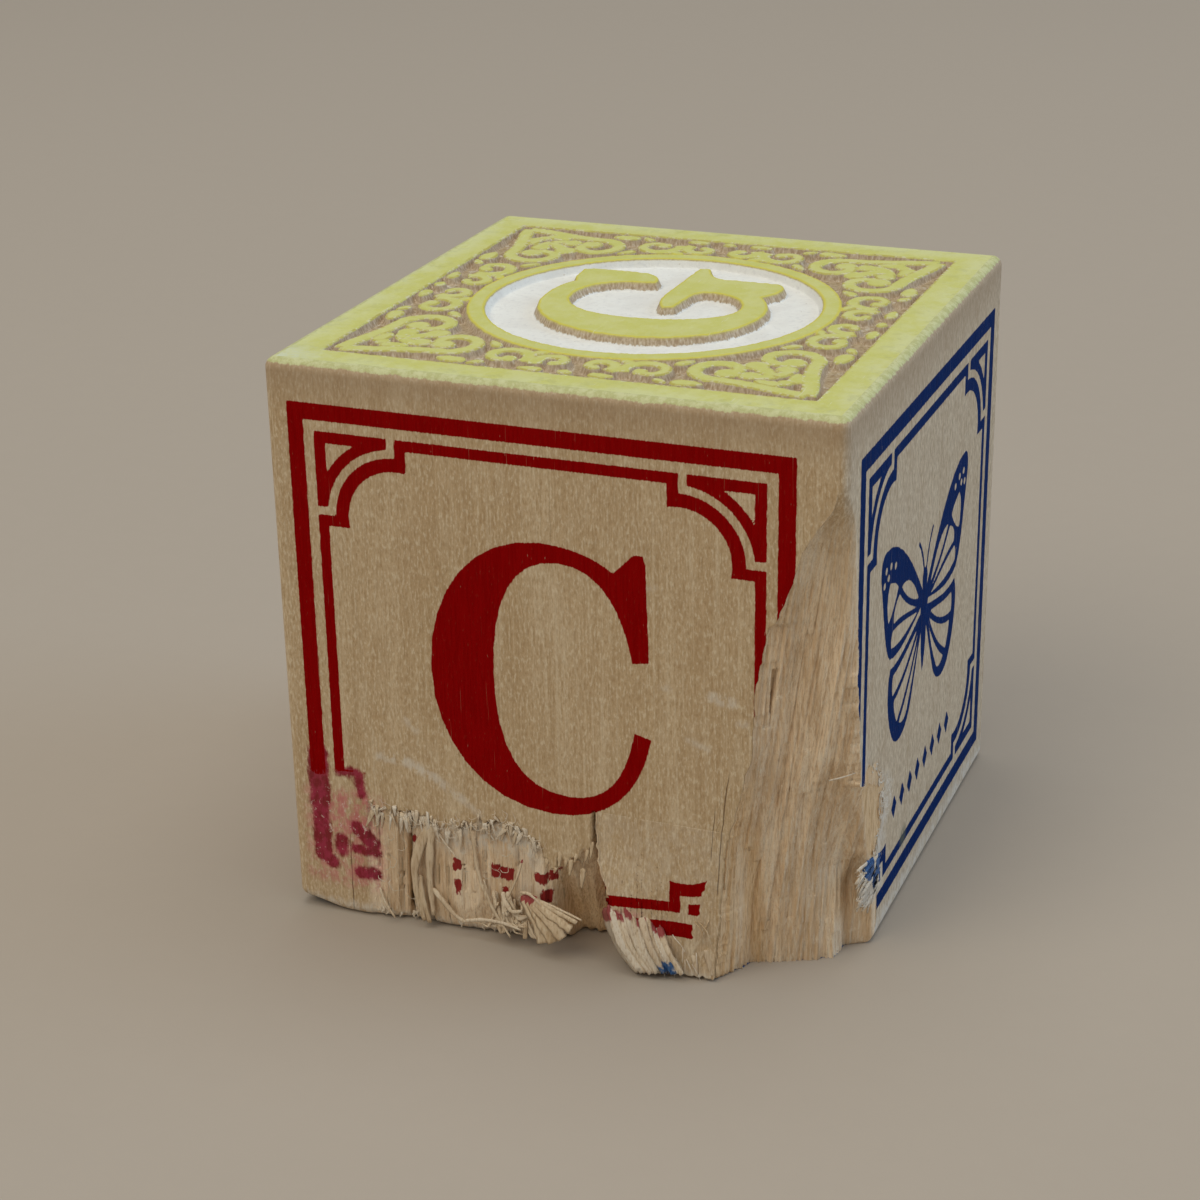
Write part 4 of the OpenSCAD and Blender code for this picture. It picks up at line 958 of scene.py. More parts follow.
class Nodes:
    """Short hand for building a node tree."""

    def __init__(self, name):
        self.mat = bpy.data.materials.new(name)
        self.mat.use_nodes = True
        self.tree = self.mat.node_tree
        self.tree.nodes.clear()
        self.out = self.tree.nodes.new("ShaderNodeOutputMaterial")
        self.shader = self.tree.nodes.new("ShaderNodeBsdfPrincipled")
        self.tree.links.new(self.shader.outputs[0], self.out.inputs["Surface"])
        self.place = Wire(self, self.tree.nodes.new("ShaderNodeTexCoord").outputs["Object"])
        split = self.tree.nodes.new("ShaderNodeSeparateXYZ")
        self.put(split.inputs[0], self.place)
        self.x, self.y, self.z = (Wire(self, socket) for socket in split.outputs)

    def put(self, socket, value):
        if isinstance(value, Wire):
            self.tree.links.new(value.socket, socket)
        elif isinstance(value, tuple) and socket.type == "RGBA":
            socket.default_value = (*value, 1)
        else:
            socket.default_value = value

    def node(self, kind, output, inputs, **settings):
        """A node with its settings and inputs, as the wire of one output."""
        new = self.tree.nodes.new("ShaderNode" + kind)
        for key, value in settings.items():
            setattr(new, key, value)
        for key, value in inputs.items():
            self.put(new.inputs[key], value)
        return Wire(self, new.outputs[output])

    def math(self, operation, a, b=0.0, clamp=False):
        return self.node("Math", 0, {0: a, 1: b}, operation=operation, use_clamp=clamp)

    def step(self, value, low, high, a=0.0, b=1.0):
        """A soft step from a where the value is low to b where it is high."""
        inputs = {"Value": value, "From Min": low, "From Max": high, "To Min": a, "To Max": b}
        return self.node("MapRange", 0, inputs, interpolation_type="SMOOTHSTEP")

    def above(self, value, low, high, strength):
        return self.step(value, low, high, 0.0, strength)

    def below(self, value, low, high, strength):
        return self.step(value, low, high, strength, 0.0)

    def mix(self, share, a, b):
        return self.node("Mix", 2, {0: share, 6: a, 7: b}, data_type="RGBA", blend_type="MIX")

    def tinted(self, colour, *layers):
        """A colour under layers of (strength, tint)."""
        for strength, tint in layers:
            colour = self.mix(strength, colour, tint)
        return colour

    def attr(self, name):
        return self.node("Attribute", "Fac", {}, attribute_name=name)

    def noise(self, scale, detail=2.0, rough=0.5, shift=0.0):
        """Noise whose cells per millimetre are given for x, y and z, or once for all."""
        scale = scale if isinstance(scale, tuple) else (scale,) * 3
        inputs = {0: self.place, 1: [s * 1000 for s in scale], 2: (shift, shift * 1.7, shift * 0.6)}
        place = self.node("VectorMath", 0, inputs, operation="MULTIPLY_ADD")
        inputs = {"Vector": place, "Scale": 1.0, "Detail": detail, "Roughness": rough, "Distortion": 0.0}
        return self.node("TexNoise", 0, inputs)

    def bump(self, height, distance, strength):
        return self.node("Bump", 0, {"Strength": strength, "Distance": distance * 0.001, "Height": height})

    def finish(self, colour, rough, normal, specular=0.35):
        inputs = {"Base Color": colour, "Roughness": rough, "Normal": normal, "Specular IOR Level": specular}
        for key, value in inputs.items():
            self.put(self.shader.inputs[key], value)
        return self.mat


class WoodNodes(Nodes):
    """A node tree with the grain that the looks of the block's sides share."""

    def __init__(self, name):
        super().__init__(name)
        self.fibre = self.noise((6.0, 6.0, 0.42), 3.0, 0.6)
        self.fleck = self.noise((5.6, 5.6, 1.7), 2.0, 0.6, 7.3)
        self.grit = self.noise((9.0, 9.0, 5.0), 2.0, 0.6, 5.0)
        self.streak = self.noise((3.6, 3.6, 0.12), 4.0, 0.66, 21.0)
        self.strand = self.noise((8.5, 8.5, 0.50), 3.0, 0.66, 23.0)
        self.scuff = self.noise((1.6, 1.6, 1.1), 4.0, 0.7, 29.0)


WOOD, WOOD_DARK, WOOD_PALE = (0.630, 0.462, 0.272), (0.420, 0.270, 0.132), (0.800, 0.670, 0.470)
TORN, TORN_DARK, TORN_PALE = (0.985, 0.765, 0.515), (0.600, 0.385, 0.200), (0.985, 0.860, 0.665)
COOL_LIGHT_GREY, COOL_LIGHT_GREY_PALE = (0.520, 0.445, 0.340), (0.760, 0.670, 0.530)
WARM, WARM_PALE = (0.640, 0.385, 0.165), (0.920, 0.630, 0.325)
CRIMSON, CRIMSON_PALE = (0.225, 0.003, 0.016), (0.360, 0.022, 0.060)
GLOSS = 0.22
# Ink: plain and deep tone
RED = ((0.290, 0.0018, 0.0020), (0.250, 0.0012, 0.0014))
BLUE = ((0.0020, 0.026, 0.130), (0.0015, 0.019, 0.102))


def sound_wood(n):
    """Wood of the sides: darker below the painted rim, and on the right face a paler, greyer tint that is painted
    cool light.
    """
    band = n.noise((0.42, 0.42, 0.020), 2.0, 0.5, 3.1)
    blotch = n.noise((0.09, 0.09, 0.06), 2.0, 0.5, 11.0)
    patch = n.noise((0.7, 0.7, 0.22), 3.0, 0.6, 33.0)
    line = n.noise((3.4, 3.4, 0.06), 3.0, 0.6, 19.0)
    on_right = n.step(n.x, 0.0216, 0.0221)
    rim = n.step(n.fibre * 0.0016 + n.z, 0.0415, 0.0458)
    return n.tinted(
        WOOD,
        (n.above(band, 0.32, 0.68, 0.20), WOOD_PALE),
        (n.below(band, 0.45, 0.62, 0.17), WOOD_DARK),
        (n.below(blotch, 0.35, 0.7, 0.12), WOOD_DARK),
        (n.below(n.fibre, 0.34, 0.60, 0.38), WOOD_DARK),
        (n.above(n.fleck, 0.51, 0.66, 0.66), WOOD_PALE),
        (n.below(n.fleck, 0.32, 0.47, 0.62), WOOD_DARK),
        (n.above(patch, 0.52, 0.70, 0.24), WOOD_PALE),
        (n.below(patch, 0.30, 0.46, 0.20), WOOD_DARK),
        # painted cool light: the right face tinted paler and greyer
        (on_right * 0.50, n.mix(n.step(n.fleck, 0.38, 0.62), COOL_LIGHT_GREY, COOL_LIGHT_GREY_PALE)),
        (n.above(line, 0.56, 0.68, 0.32), WOOD_PALE),
        (n.below(line, 0.32, 0.44, 0.30), WOOD_DARK),
        (n.below(n.grit, 0.36, 0.50, 0.22), (0.40, 0.29, 0.17)),
        (n.above(n.grit, 0.56, 0.68, 0.18), WOOD_PALE),
        (rim * 0.55, (0.410, 0.290, 0.180)))


def torn_wood(n):
    broad = n.noise((0.55, 0.55, 0.040), 2.0, 0.5, 27.0)
    return n.tinted(
        TORN,
        (n.below(n.streak, 0.36, 0.53, 0.58), TORN_DARK),
        (n.above(n.streak, 0.54, 0.66, 0.55), TORN_PALE),
        (n.below(broad, 0.42, 0.56, 0.42), (0.600, 0.395, 0.210)),
        (n.above(broad, 0.54, 0.68, 0.36), TORN_PALE),
        (n.above(n.strand, 0.53, 0.66, 0.55), TORN_PALE),
        (n.below(n.strand, 0.32, 0.46, 0.50), TORN_DARK),
        (n.above(n.scuff, 0.56, 0.68, 0.40), TORN_PALE),
        (n.below(n.grit, 0.34, 0.46, 0.25), TORN_DARK))


def wood_colour(n):
    """Raw wood at any point of the block: sound, torn, cracked or whitened, with painted shade in its cracks and
    hollows and a warm tone on torn parts that is partly painted light.
    """
    # thin cracks painted dark, as the shade inside them
    wide = n.attr("crack_wide")
    crack = n.math("ABSOLUTE", n.attr("crack_across")) - wide * (n.strand * 1.6 + 0.2)
    crack = n.step(crack, 0.02, -0.02) * n.step(wide, 0.0, 0.02)
    white = n.attr("white") * n.step(n.scuff + (n.strand * 0.3 - 0.15), 0.36, 0.58)
    return n.tinted(
        sound_wood(n),
        (n.attr("torn"), torn_wood(n)),
        # warm tone of torn wood, partly painted warm light that offsets the cool lamp and the shade in hollows
        (n.above(n.attr("deep"), 0.08, 0.75, 0.65), n.mix(n.step(n.strand, 0.35, 0.6), WARM, WARM_PALE)),
        # painted shade in cracks, seams, nicks and hollows
        (n.above(n.attr("dark"), 0.15, 1.0, 0.88), (0.100, 0.062, 0.028)),
        (crack * 0.80, (0.150, 0.088, 0.040)),
        (white * 0.75, (0.78, 0.72, 0.62)))


def stained(n, colour):
    """Crimson smears, pink haze, and bits of old print on the chewed boards."""
    haze = n.attr("haze")
    smear = n.attr("smudge") + (n.scuff * 0.90 - 0.45) + (n.fleck * 0.30 - 0.15)
    hair = n.step(n.noise((2.4, 2.4, 1.9), 3.0, 0.7, 63.0), 0.60, 0.66)
    bit = n.attr("mark") + ((n.fleck * 0.50 - 0.25) + (n.scuff * 0.5 - 0.25))
    return n.tinted(
        colour,
        (haze * n.step(n.scuff, 0.38, 0.60) * 0.72, (0.600, 0.150, 0.170)),
        (n.step(smear, 0.20, -0.18) * 0.96, n.mix(n.step(n.scuff, 0.40, 0.60), CRIMSON, CRIMSON_PALE)),
        (haze * hair * 0.75, (0.760, 0.600, 0.520)),
        (n.step(bit, 0.14, 0.02) * 0.97, (0.310, 0.004, 0.006)))


def ink_mask(n):
    """Where ink lies: a ragged outline along the fibres, less worn fibres and fine scratches."""
    rub = n.attr("rub")
    rag = n.noise((7.5, 7.5, 1.1), 2.0, 0.6, 51.0)
    level = n.attr("ink") + (rag * 0.16 - 0.08) + (n.fleck * 0.08 - 0.04)
    lost = n.above(n.fleck + rub * 0.14, 0.71, 0.79, 0.30)
    scratch = n.above(n.noise((6.0, 6.0, 0.10), 2.0, 0.7, 57.0), 0.69, 0.75, 0.22)
    worn = n.step(n.noise((3.2, 3.2, 0.8), 3.0, 0.7, 59.0) + rub * 0.34, 0.74, 0.86)
    bare = n.math("MAXIMUM", n.math("MAXIMUM", lost, scratch), worn * 0.92)
    return n.math("MULTIPLY", n.step(level, 0.035, -0.035), 1.0 - bare, clamp=True)


def side_material(name, ink=None):
    """Raw wood, with a printed ink over it where the piece carries one."""
    n = WoodNodes(name)
    torn = n.attr("torn")
    colour = stained(n, wood_colour(n))
    rough = n.math("ADD", n.step(n.fibre, 0.3, 0.7, 0.66, 0.54), torn * 0.15, clamp=True)
    height = (n.fibre + n.fleck) * 1.2 + (n.strand * 4.0 + n.streak * 4.6 + n.scuff) * torn
    gloss = GLOSS
    if ink:
        plain, deep = ink
        keep = ink_mask(n)
        worn_through = n.above(n.fleck, 0.58, 0.76, 0.03)
        pigment = n.tinted(deep, (n.step(n.fibre, 0.34, 0.62), plain), (worn_through, WOOD))
        colour = n.mix(keep, colour, pigment)
        rough = n.mix(keep, rough, (0.46, 0.46, 0.46))
        height = height + keep * 0.12
        gloss = keep * -0.215 + GLOSS
    smut = n.attr("smut") * n.step(n.scuff, 0.38, 0.52)
    colour = n.mix(smut * 0.80, colour, (0.130, 0.140, 0.095))
    # paint that has run a little over the painted end's edge
    rag = n.noise((1.5, 1.5, 0.5), 4.0, 0.75, 41.0)
    over_rim = n.step(rag * 0.00060 + n.z + n.fleck * 0.00008, 0.04526, 0.04536)
    colour = n.mix(over_rim, colour, n.mix(n.step(rag, 0.40, 0.60), (0.50, 0.50, 0.22), (0.62, 0.62, 0.33)))
    rough = n.mix(over_rim, rough, (0.55, 0.55, 0.55))
    return n.finish(colour, rough, n.bump(height, 0.045, 0.8), gloss)


wood_mat = side_material("basswood")
red_mat = side_material("red_ink", RED)
blue_mat = side_material("blue_ink", BLUE)

# Cut the skin into the wood and its printed elements, each with a margin of wood round it
MARGIN = 0.45
owner = np.zeros(len(faces), int)
for k, (name, distance) in enumerate(prints.items(), 1):
    owner[(distance[faces].min(1) < MARGIN) & (owner == 0)] = k
for k, name in enumerate(prints, 1):
    red = name.startswith(("front", "left"))
    ob = piece(name + "_look", verts, faces, field, normals, owner == k)
    finish_piece(ob, red_mat if red else blue_mat, "red_ink" if red else "blue_ink", name)


# Painted ends
# The thick tone is painted shade along the scroll edges; the worn tone is their pale edges, partly wear and
# partly painted highlight
YELLOW_TONES = {"plain": (0.615, 0.610, 0.215), "deep": (0.580, 0.575, 0.152), "pale": (0.640, 0.650, 0.330),
                "rubbed": (0.610, 0.640, 0.470), "full": (0.640, 0.560, 0.050), "thick": (0.440, 0.360, 0.045),
                "worn": (0.74, 0.72, 0.56)}
BLUE_TONES = {"plain": (0.032, 0.075, 0.220)}
BLUE_TONES.update(dict.fromkeys(("deep", "full", "thick"), (0.020, 0.048, 0.160)))
BLUE_TONES.update(dict.fromkeys(("pale", "rubbed", "worn"), (0.080, 0.130, 0.280)))
# Width over which the sides of ring and letter slope, and those of frame and scrollwork
WALL, SCROLL_WALL = 0.34, 0.24


def end_wood(n, fine, stria):
    """Bare wood of the walls and the floor."""
    wall = n.tinted((0.400, 0.290, 0.180), (n.step(stria, 0.36, 0.62), (0.590, 0.480, 0.340)),
                    (n.above(stria, 0.64, 0.70, 0.8), (0.72, 0.68, 0.56)))
    chalk = n.step(n.noise(0.9, 4.0, 0.72, 19.0), 0.54, 0.66)
    floor = n.tinted((0.300, 0.205, 0.105), (n.step(fine, 0.34, 0.60), (0.460, 0.360, 0.225)),
                     (chalk * 0.70, (0.72, 0.69, 0.60)))
    return n.mix(n.attr("wall"), floor, wall)


def disc_paint(n, raised, fine):
    """White paint of the disc, and where it lies: it climbs the letter's wall in teeth, and the ring's whole."""
    disc = n.attr("disc")
    teeth = n.noise((3.6, 3.6, 0.2), 2.0, 0.7, 23.0)
    at_ring = n.step(disc, -0.75, -0.40)
    reach = raised - (teeth * 0.26 + 0.16) * (at_ring * -0.72 + 1.0)
    inside = n.step(disc + (fine * 0.10 - 0.05), 0.02, -0.10)
    speck = n.step(n.noise(3.0, 2.0, 0.6, 47.0), 0.70, 0.74)
    white = n.tinted((0.735, 0.730, 0.690), (n.step(fine, 0.28, 0.50), (0.830, 0.825, 0.770)),
                     (n.above(n.noise(0.30, 3.0, 0.6, 31.0), 0.40, 0.66, 0.45), (0.71, 0.69, 0.64)),
                     (speck * 0.5, (0.45, 0.36, 0.26)))
    return white, inside * n.step(reach, -0.03, 0.03)


def raised_paint(n, tones, fine, mottle):
    """Paint of all that stands: paler towards the outer edge, rubbed at the front left corner."""
    border = n.attr("border")
    at_border = n.step(border, 2.2, 0.2) * n.step(mottle, 0.3, 0.6, 0.1, 0.7)
    grime = n.step(border, 3.4, 0.3) * n.step(n.noise(0.7, 4.0, 0.7, 43.0), 0.52, 0.66)
    corner = n.step(n.x, -0.0165, -0.0215) * n.step(n.y, -0.0165, -0.0215) * n.step(fine, 0.36, 0.56, 0.3, 0.9)
    return n.tinted(
        tones["deep"],
        (n.step(mottle, 0.36, 0.64), tones["plain"]),
        (n.above(fine, 0.50, 0.70, 0.35), tones["pale"]),
        (at_border, tones["pale"]),
        (grime * 0.22, (0.330, 0.340, 0.170)),
        (corner, tones["rubbed"]))


def end_material(name, tones):
    n = Nodes(name)
    raised, letter = n.attr("raised"), n.attr("letter")
    fibre = n.noise(5.0, 3.0, 0.6, 3.0)
    mottle = n.noise(0.42, 4.0, 0.62, 9.0)
    fine = n.noise(2.6, 3.0, 0.65, 13.0)
    stria = n.noise((5.5, 5.5, 0.4), 2.0, 0.6, 17.0)
    white, white_mask = disc_paint(n, raised, fine)
    thin = n.step(n.noise(2.2, 3.0, 0.7, 29.0), 0.64, 0.76)
    mask = n.step(raised + (fine * 0.10 - 0.05), 0.06, 0.01) * (1.0 - thin * 0.4)
    # fuller paint along the edges of ring and letter; along the scrollwork's edges, painted shade that deepens
    # the relief and pale edges that are partly wear and partly painted highlight
    lip = n.step(n.math("ABSOLUTE", raised + 0.05), 0.20, 0.0)
    scroll_edge_shade_and_light = lip * (1.0 - letter) * mask
    scratch = n.above(n.noise((4.5, 0.25, 1.0), 2.0, 0.7, 37.0), 0.72, 0.75, 0.45)
    colour = n.tinted(
        end_wood(n, fine, stria),
        (white_mask, white),
        (mask, raised_paint(n, tones, fine, mottle)),
        (lip * letter * 0.75, tones["full"]),
        # painted shade along the scroll edges
        (scroll_edge_shade_and_light * n.step(mottle, 0.38, 0.54) * 0.75, tones["thick"]),
        # pale scroll edges: wear and painted highlight
        (scroll_edge_shade_and_light * n.step(fine, 0.48, 0.60) * 0.60, tones["worn"]),
        (scratch * mask, (0.75, 0.74, 0.60)))
    height = fine * (white_mask * -0.45 + 0.8) + fibre * 0.5 + stria * n.attr("wall") * 0.7
    return n.finish(colour, n.step(fine, 0.3, 0.7, 0.50, 0.66), n.bump(height, 0.045, 0.8), 0.3)


def end_face(side, steps, letter_sdf):
    """Points, faces and fields of an end, and the raised part that each point is nearest to."""
    line = np.linspace(-FLAT, FLAT, steps)
    plan = np.stack(np.meshgrid(line, line), -1).reshape(-1, 2)
    x, y = plan.T
    # the bottom is drawn as seen from below: its plan is turned about the x axis
    seen = plan if side > 0 else plan * [1, -1]
    shapes = [-box_sdf(seen, POCKET, POCKET), scroll_sdf(seen), ring_sdf(seen), letter_sdf(seen)]
    raised = joined(*shapes) + 0.03 * noise(x / 0.5, y / 0.5, 101)
    slope = np.where(joined(*shapes[2:]) < joined(*shapes[:2]), WALL, SCROLL_WALL)
    t = np.clip((slope - raised) / slope, 0, 1)
    t = 0.6 * t + 0.4 * smooth(0, 1, t)
    disc = np.linalg.norm(plan, axis=1) - (RING_R - RING_W)
    floor = DEBOSS + 0.12 * smooth(0.0, -0.5, disc) - 0.04 * np.maximum(noise(x / 1.3, y / 1.3, 102), 0)
    depth = floor * (1 - t) + 0.02 * t * (1 + noise(x / 0.30, y / 0.7, 103))
    border = FLAT - np.abs(plan).max(1)
    depth = depth * smooth(0, 0.3, border)
    letter = np.maximum(*(smooth(0.6, 0.2, np.abs(shape)) for shape in shapes[2:]))
    wall = np.clip(1 - np.abs(raised - 0.52 * WALL) / (0.62 * WALL), 0, 1) ** 0.35
    fields = {"raised": raised, "disc": disc, "wall": wall, "border": border, "letter": letter}
    points = np.stack([x, y, HEIGHT - depth if side > 0 else depth], 1)
    return points, grid_faces(steps, steps)[:, ::side], fields, np.argmin(shapes, 0)


def fit_to_bite(points, faces):
    """The bottom drawn back to where the chewed front stands, without the faces that this closes."""
    start, end = spans["front"][0], spans["break"][1]
    front = verts[start:end]
    low = np.interp(points[:, 0], np.maximum.accumulate(front[:, 0]), front[:, 1])
    gone = points[:, 1] < low
    points[gone, 1] = low[gone]
    points[gone, 2] = 0
    a, b, c, d = (points[faces[:, i], :2] for i in range(4))
    return worn_corner(points), faces[np.abs(np.cross(c - a, d - b)) > 1e-6]


def end_pieces(prefix, side, steps, letter_sdf, tones, slot):
    points, faces, fields, nearest = end_face(side, steps, letter_sdf)
    if side < 0:
        points, faces = fit_to_bite(points, faces)
    parts = ("frame", "scroll", "ring", "letter", "disc")
    on_floor = np.where((fields["disc"] < 0)[faces].all(1), parts.index("disc"), parts.index("scroll"))
    part_of = np.where(fields["raised"][faces].min(1) < 0.0, nearest[faces][:, 0], on_floor)
    normals, material = vertex_normals(points, faces), end_material(slot, tones)
    for k, part in enumerate(parts):
        ob = piece(f"{prefix}_{part}_paint_look", points, faces, fields, normals, part_of == k)
        finish_piece(ob, material, "white_paint" if part == "disc" else slot, f"{prefix}_{part}_paint")


end_pieces("top", 1, 500, letter_g_sdf, YELLOW_TONES, "yellow_paint")
end_pieces("bottom", -1, 260, letter_h_sdf, BLUE_TONES, "blue_paint")

# The wood itself: all of the skin that carries no print
wood = piece("wood_block_look", verts, faces, field, normals, owner == 0)
finish_piece(wood, wood_mat, "basswood", "wood_block")


# Torn fibres: tapered, bent strips, six points round
STRIP_RING = [(1, 0), (0.55, 0.9), (-0.55, 0.9), (-1, 0), (-0.55, -0.9), (0.55, -0.9)]
STRIP_CAP = np.array([[0, 1, 2, 3], [0, 3, 4, 5]])
# the last look is painted shade, for strips that lie under others or in the bundle's shade
STRIP_LOOKS = ("white", "stain", "smear", "dark")
# How far strips stay inside the CAD box
INSIDE = 0.005
# How far right and up a point moves with each millimetre that it stands out, to stay in place for the camera
LEAN_RIGHT, LEAN_UP = 0.46, 0.61
# Steps of a strip between two measured points
STEPS = 8


class Strips:
    """Strips gathered into one mesh."""

    def __init__(self):
        self.points, self.faces, self.looks = [], [], []

    def add(self, path, width, thick, facing, taper, **looks):
        """A strip along a path of points, with its flat side towards facing."""
        path = np.asarray(path, float)
        steps, corners = len(path), len(STRIP_RING)
        t = np.linspace(0, 1, steps)
        shape = np.minimum(1, 0.55 + t / 0.15) * (1 - (1 - taper) * t ** 2)
        tangent = np.gradient(path, axis=0)
        tangent /= np.linalg.norm(tangent, axis=1)[:, None] + 1e-9
        side = np.cross(tangent, facing)
        side /= np.linalg.norm(side, axis=1)[:, None] + 1e-9
        up = np.cross(side, tangent)
        rag = 1 + 0.18 * noise(t * 9 + len(self.points) * 3.7, 0, 111)
        half_w = (width * shape * rag)[:, None] / 2
        half_h = (thick * np.sqrt(shape))[:, None] / 2
        ring = np.stack([path + side * half_w * a + up * half_h * b for a, b in STRIP_RING], 1)
        faces = [grid_faces(steps, corners, wrap=True), STRIP_CAP[:, ::-1], STRIP_CAP + (steps - 1) * corners]
        self.faces.append(np.concatenate(faces) + sum(len(points) for points in self.points))
        self.points.append(ring.reshape(-1, 3))
        values = [np.broadcast_to(looks.get(key, 0.0), steps) for key in STRIP_LOOKS]
        self.looks.append(np.repeat(values, corners, axis=1))

    def mesh(self, name):
        points = np.concatenate(self.points)
        points[:, 0] = np.minimum(points[:, 0], cad_hi[0] * 1000 - INSIDE)
        points[:, 1] = np.maximum(points[:, 1], cad_lo[1] * 1000 + INSIDE)
        points[:, 2] = np.maximum(points[:, 2], 0.0)
        looks = dict(zip(STRIP_LOOKS, np.concatenate(self.looks, axis=1)))
        return build(name, points, np.concatenate(self.faces), looks)


def at_front(u, z, out):
    """A point standing out of the front, over the place (u, z) of the front as the camera sees it."""
    return (u + LEAN_RIGHT * out - HALF, -HALF - out, z + LEAN_UP * out)


def strip_along(group, points, wide, thick, taper=0.4, **looks):
    """A strip through measured points: in from the left, height, stand-out."""
    corners = np.array([at_front(*point) for point in points])
    last = len(points) - 1
    t = np.linspace(0, last, STEPS * last + 1)
    path = np.stack([np.interp(t, np.arange(last + 1), corners[:, k]) for k in range(3)], 1)
    for _ in range(4):
        path[1:-1] = (path[:-2] + 2 * path[1:-1] + path[2:]) / 4
    group.add(path, wide, thick, (0.15, -1, 0.2), taper, **looks)


def off(across, height, length, angle):
    """The place that lies a length away in a direction."""
    return across + length * math.cos(angle), height + length * math.sin(angle)


def fibre_material(name):
    n = Nodes(name)
    strand = n.noise((7.0, 7.0, 1.1), 3.0, 0.6, 3.0)
    tone = n.noise((1.1, 1.1, 0.35), 2.0, 0.5, 9.0)
    patch = n.noise(1.6, 3.0, 0.7, 15.0)
    blue = n.mix(n.step(strand, 0.4, 0.6), (0.012, 0.060, 0.190), (0.060, 0.150, 0.340))
    colour = n.tinted(
        (0.600, 0.430, 0.250),
        (n.step(tone, 0.35, 0.65), (0.730, 0.570, 0.370)),
        (n.below(strand, 0.34, 0.50, 0.55), (0.360, 0.225, 0.105)),
        (n.above(strand, 0.56, 0.70, 0.5), (0.800, 0.690, 0.510)),
        (n.attr("white") * n.step(strand, 0.30, 0.55, 0.35, 0.9), (0.80, 0.74, 0.63)),
        (n.step(n.attr("stain") + (patch * 0.9 - 0.45), 0.45, 0.62), blue),
        (n.step(n.attr("smear") + (patch * 0.9 - 0.45), 0.45, 0.70) * 0.9, (0.30, 0.010, 0.024)),
        # painted shade on strips that lie under others
        (n.attr("dark") * 0.8, (0.120, 0.072, 0.034)))
    return n.finish(colour, n.step(strand, 0.3, 0.7, 0.72, 0.55), n.bump(strand + patch * 0.4, 0.06, 0.8))


fibre_mat = fibre_material("torn_basswood")
rng = np.random.default_rng(20)

# The large splinters of the chewed edge: measured points, width, whiteness
SPLINTERS = [
    ([(11.75, 9.0, -0.05), (10.9, 7.2, 0.10), (10.35, 5.2, 0.25), (10.4, 3.2, 0.25), (11.0, 0.6, 0.20)],
     0.80, 0.15),
    ([(12.1, 9.3, -0.05), (11.75, 7.0, 0.02), (11.6, 4.5, 0.02), (11.8, 1.2, 0.0)], 0.75, 0.20),
    ([(10.7, 4.6, 0.05), (10.9, 2.6, 0.20), (11.45, 0.5, 0.15)], 0.60, 0.1),
    ([(7.25, 2.8, 0.0), (7.6, 1.6, 0.20), (8.45, 0.35, 0.35)], 0.28, 0.35),
    ([(11.85, 3.6, 0.05), (12.7, 2.6, 0.30), (13.6, 1.6, 0.45), (14.5, 1.1, 0.45)], 0.42, 0.25),
    ([(12.5, 8.6, 0.0), (13.2, 7.6, 0.15), (14.0, 6.7, 0.25)], 0.16, 0.5),
    ([(15.45, 9.3, -0.05), (15.6, 7.0, 0.10), (15.9, 5.0, 0.20), (16.9, 2.7, 0.40), (18.3, 0.5, 0.60)],
     0.38, 0.20),
    ([(16.2, 5.2, 0.0), (16.5, 3.6, 0.20), (17.4, 1.6, 0.45)], 0.30, 0.2),
    ([(19.5, 7.5, 0.0), (19.0, 5.8, 0.30), (18.2, 4.0, 0.50)], 0.22, 0.45),
    ([(14.4, 1.2, 0.20), (16.0, 1.65, 0.40), (17.6, 1.7, 0.55), (19.2, 1.35, 0.65)], 0.34, 0.45),
    ([(19.5, 4.5, 0.30), (20.2, 3.2, 0.75), (20.7, 2.0, 1.05), (21.0, 0.6, 1.15)], 1.15, 0.15),
    ([(19.8, 4.4, 0.40), (20.6, 3.2, 0.85), (21.2, 2.0, 1.15), (21.8, 0.8, 1.25)], 1.20, 0.10),
    ([(20.0, 4.3, 0.50), (21.0, 3.2, 0.95), (21.9, 2.2, 1.25), (22.6, 1.3, 1.35)], 1.15, 0.25),
    ([(20.1, 4.4, 0.50), (21.3, 3.4, 1.00), (22.3, 2.8, 1.25), (23.3, 2.2, 1.35)], 0.85, 0.20),
    ([(20.2, 4.3, 0.45), (21.6, 3.8, 0.95), (22.8, 3.3, 1.20), (23.8, 2.9, 1.30)], 0.45, 0.30),
    ([(20.4, 4.3, 0.45), (21.8, 4.0, 0.95), (23.0, 3.6, 1.15), (24.2, 3.2, 1.20)], 0.20, 0.6),
    ([(19.2, 4.6, 0.3), (19.9, 4.7, 0.6), (20.6, 4.2, 0.8), (21.1, 3.6, 0.9)], 0.26, 0.3)]
# Place from which the splinters are the reddish fan beside the flap
FAN_START = 19.3
# Teeth of the upper edge beside the flap: place, drop, width
TEETH = [(21.5, 0.9, 0.4), (22.2, 0.6, 0.35), (22.6, 1.5, 0.40), (23.1, 1.0, 0.35), (23.45, 1.4, 0.42),
         (23.9, 0.9, 0.35), (24.4, 1.7, 0.45), (24.8, 1.0, 0.35), (25.2, 1.4, 0.30)]


def large_splinters(chips):
    for points, wide, white in SPLINTERS:
        if points[0][0] > FAN_START:
            rooted = np.linspace(0, 1, STEPS * (len(points) - 1) + 1) < 0.10
            strip_along(chips, points, wide, 0.22, taper=0.8, white=0.4 * white, smear=0.75 * rooted)
        else:
            strip_along(chips, points, wide, 0.16, taper=0.5, white=white)


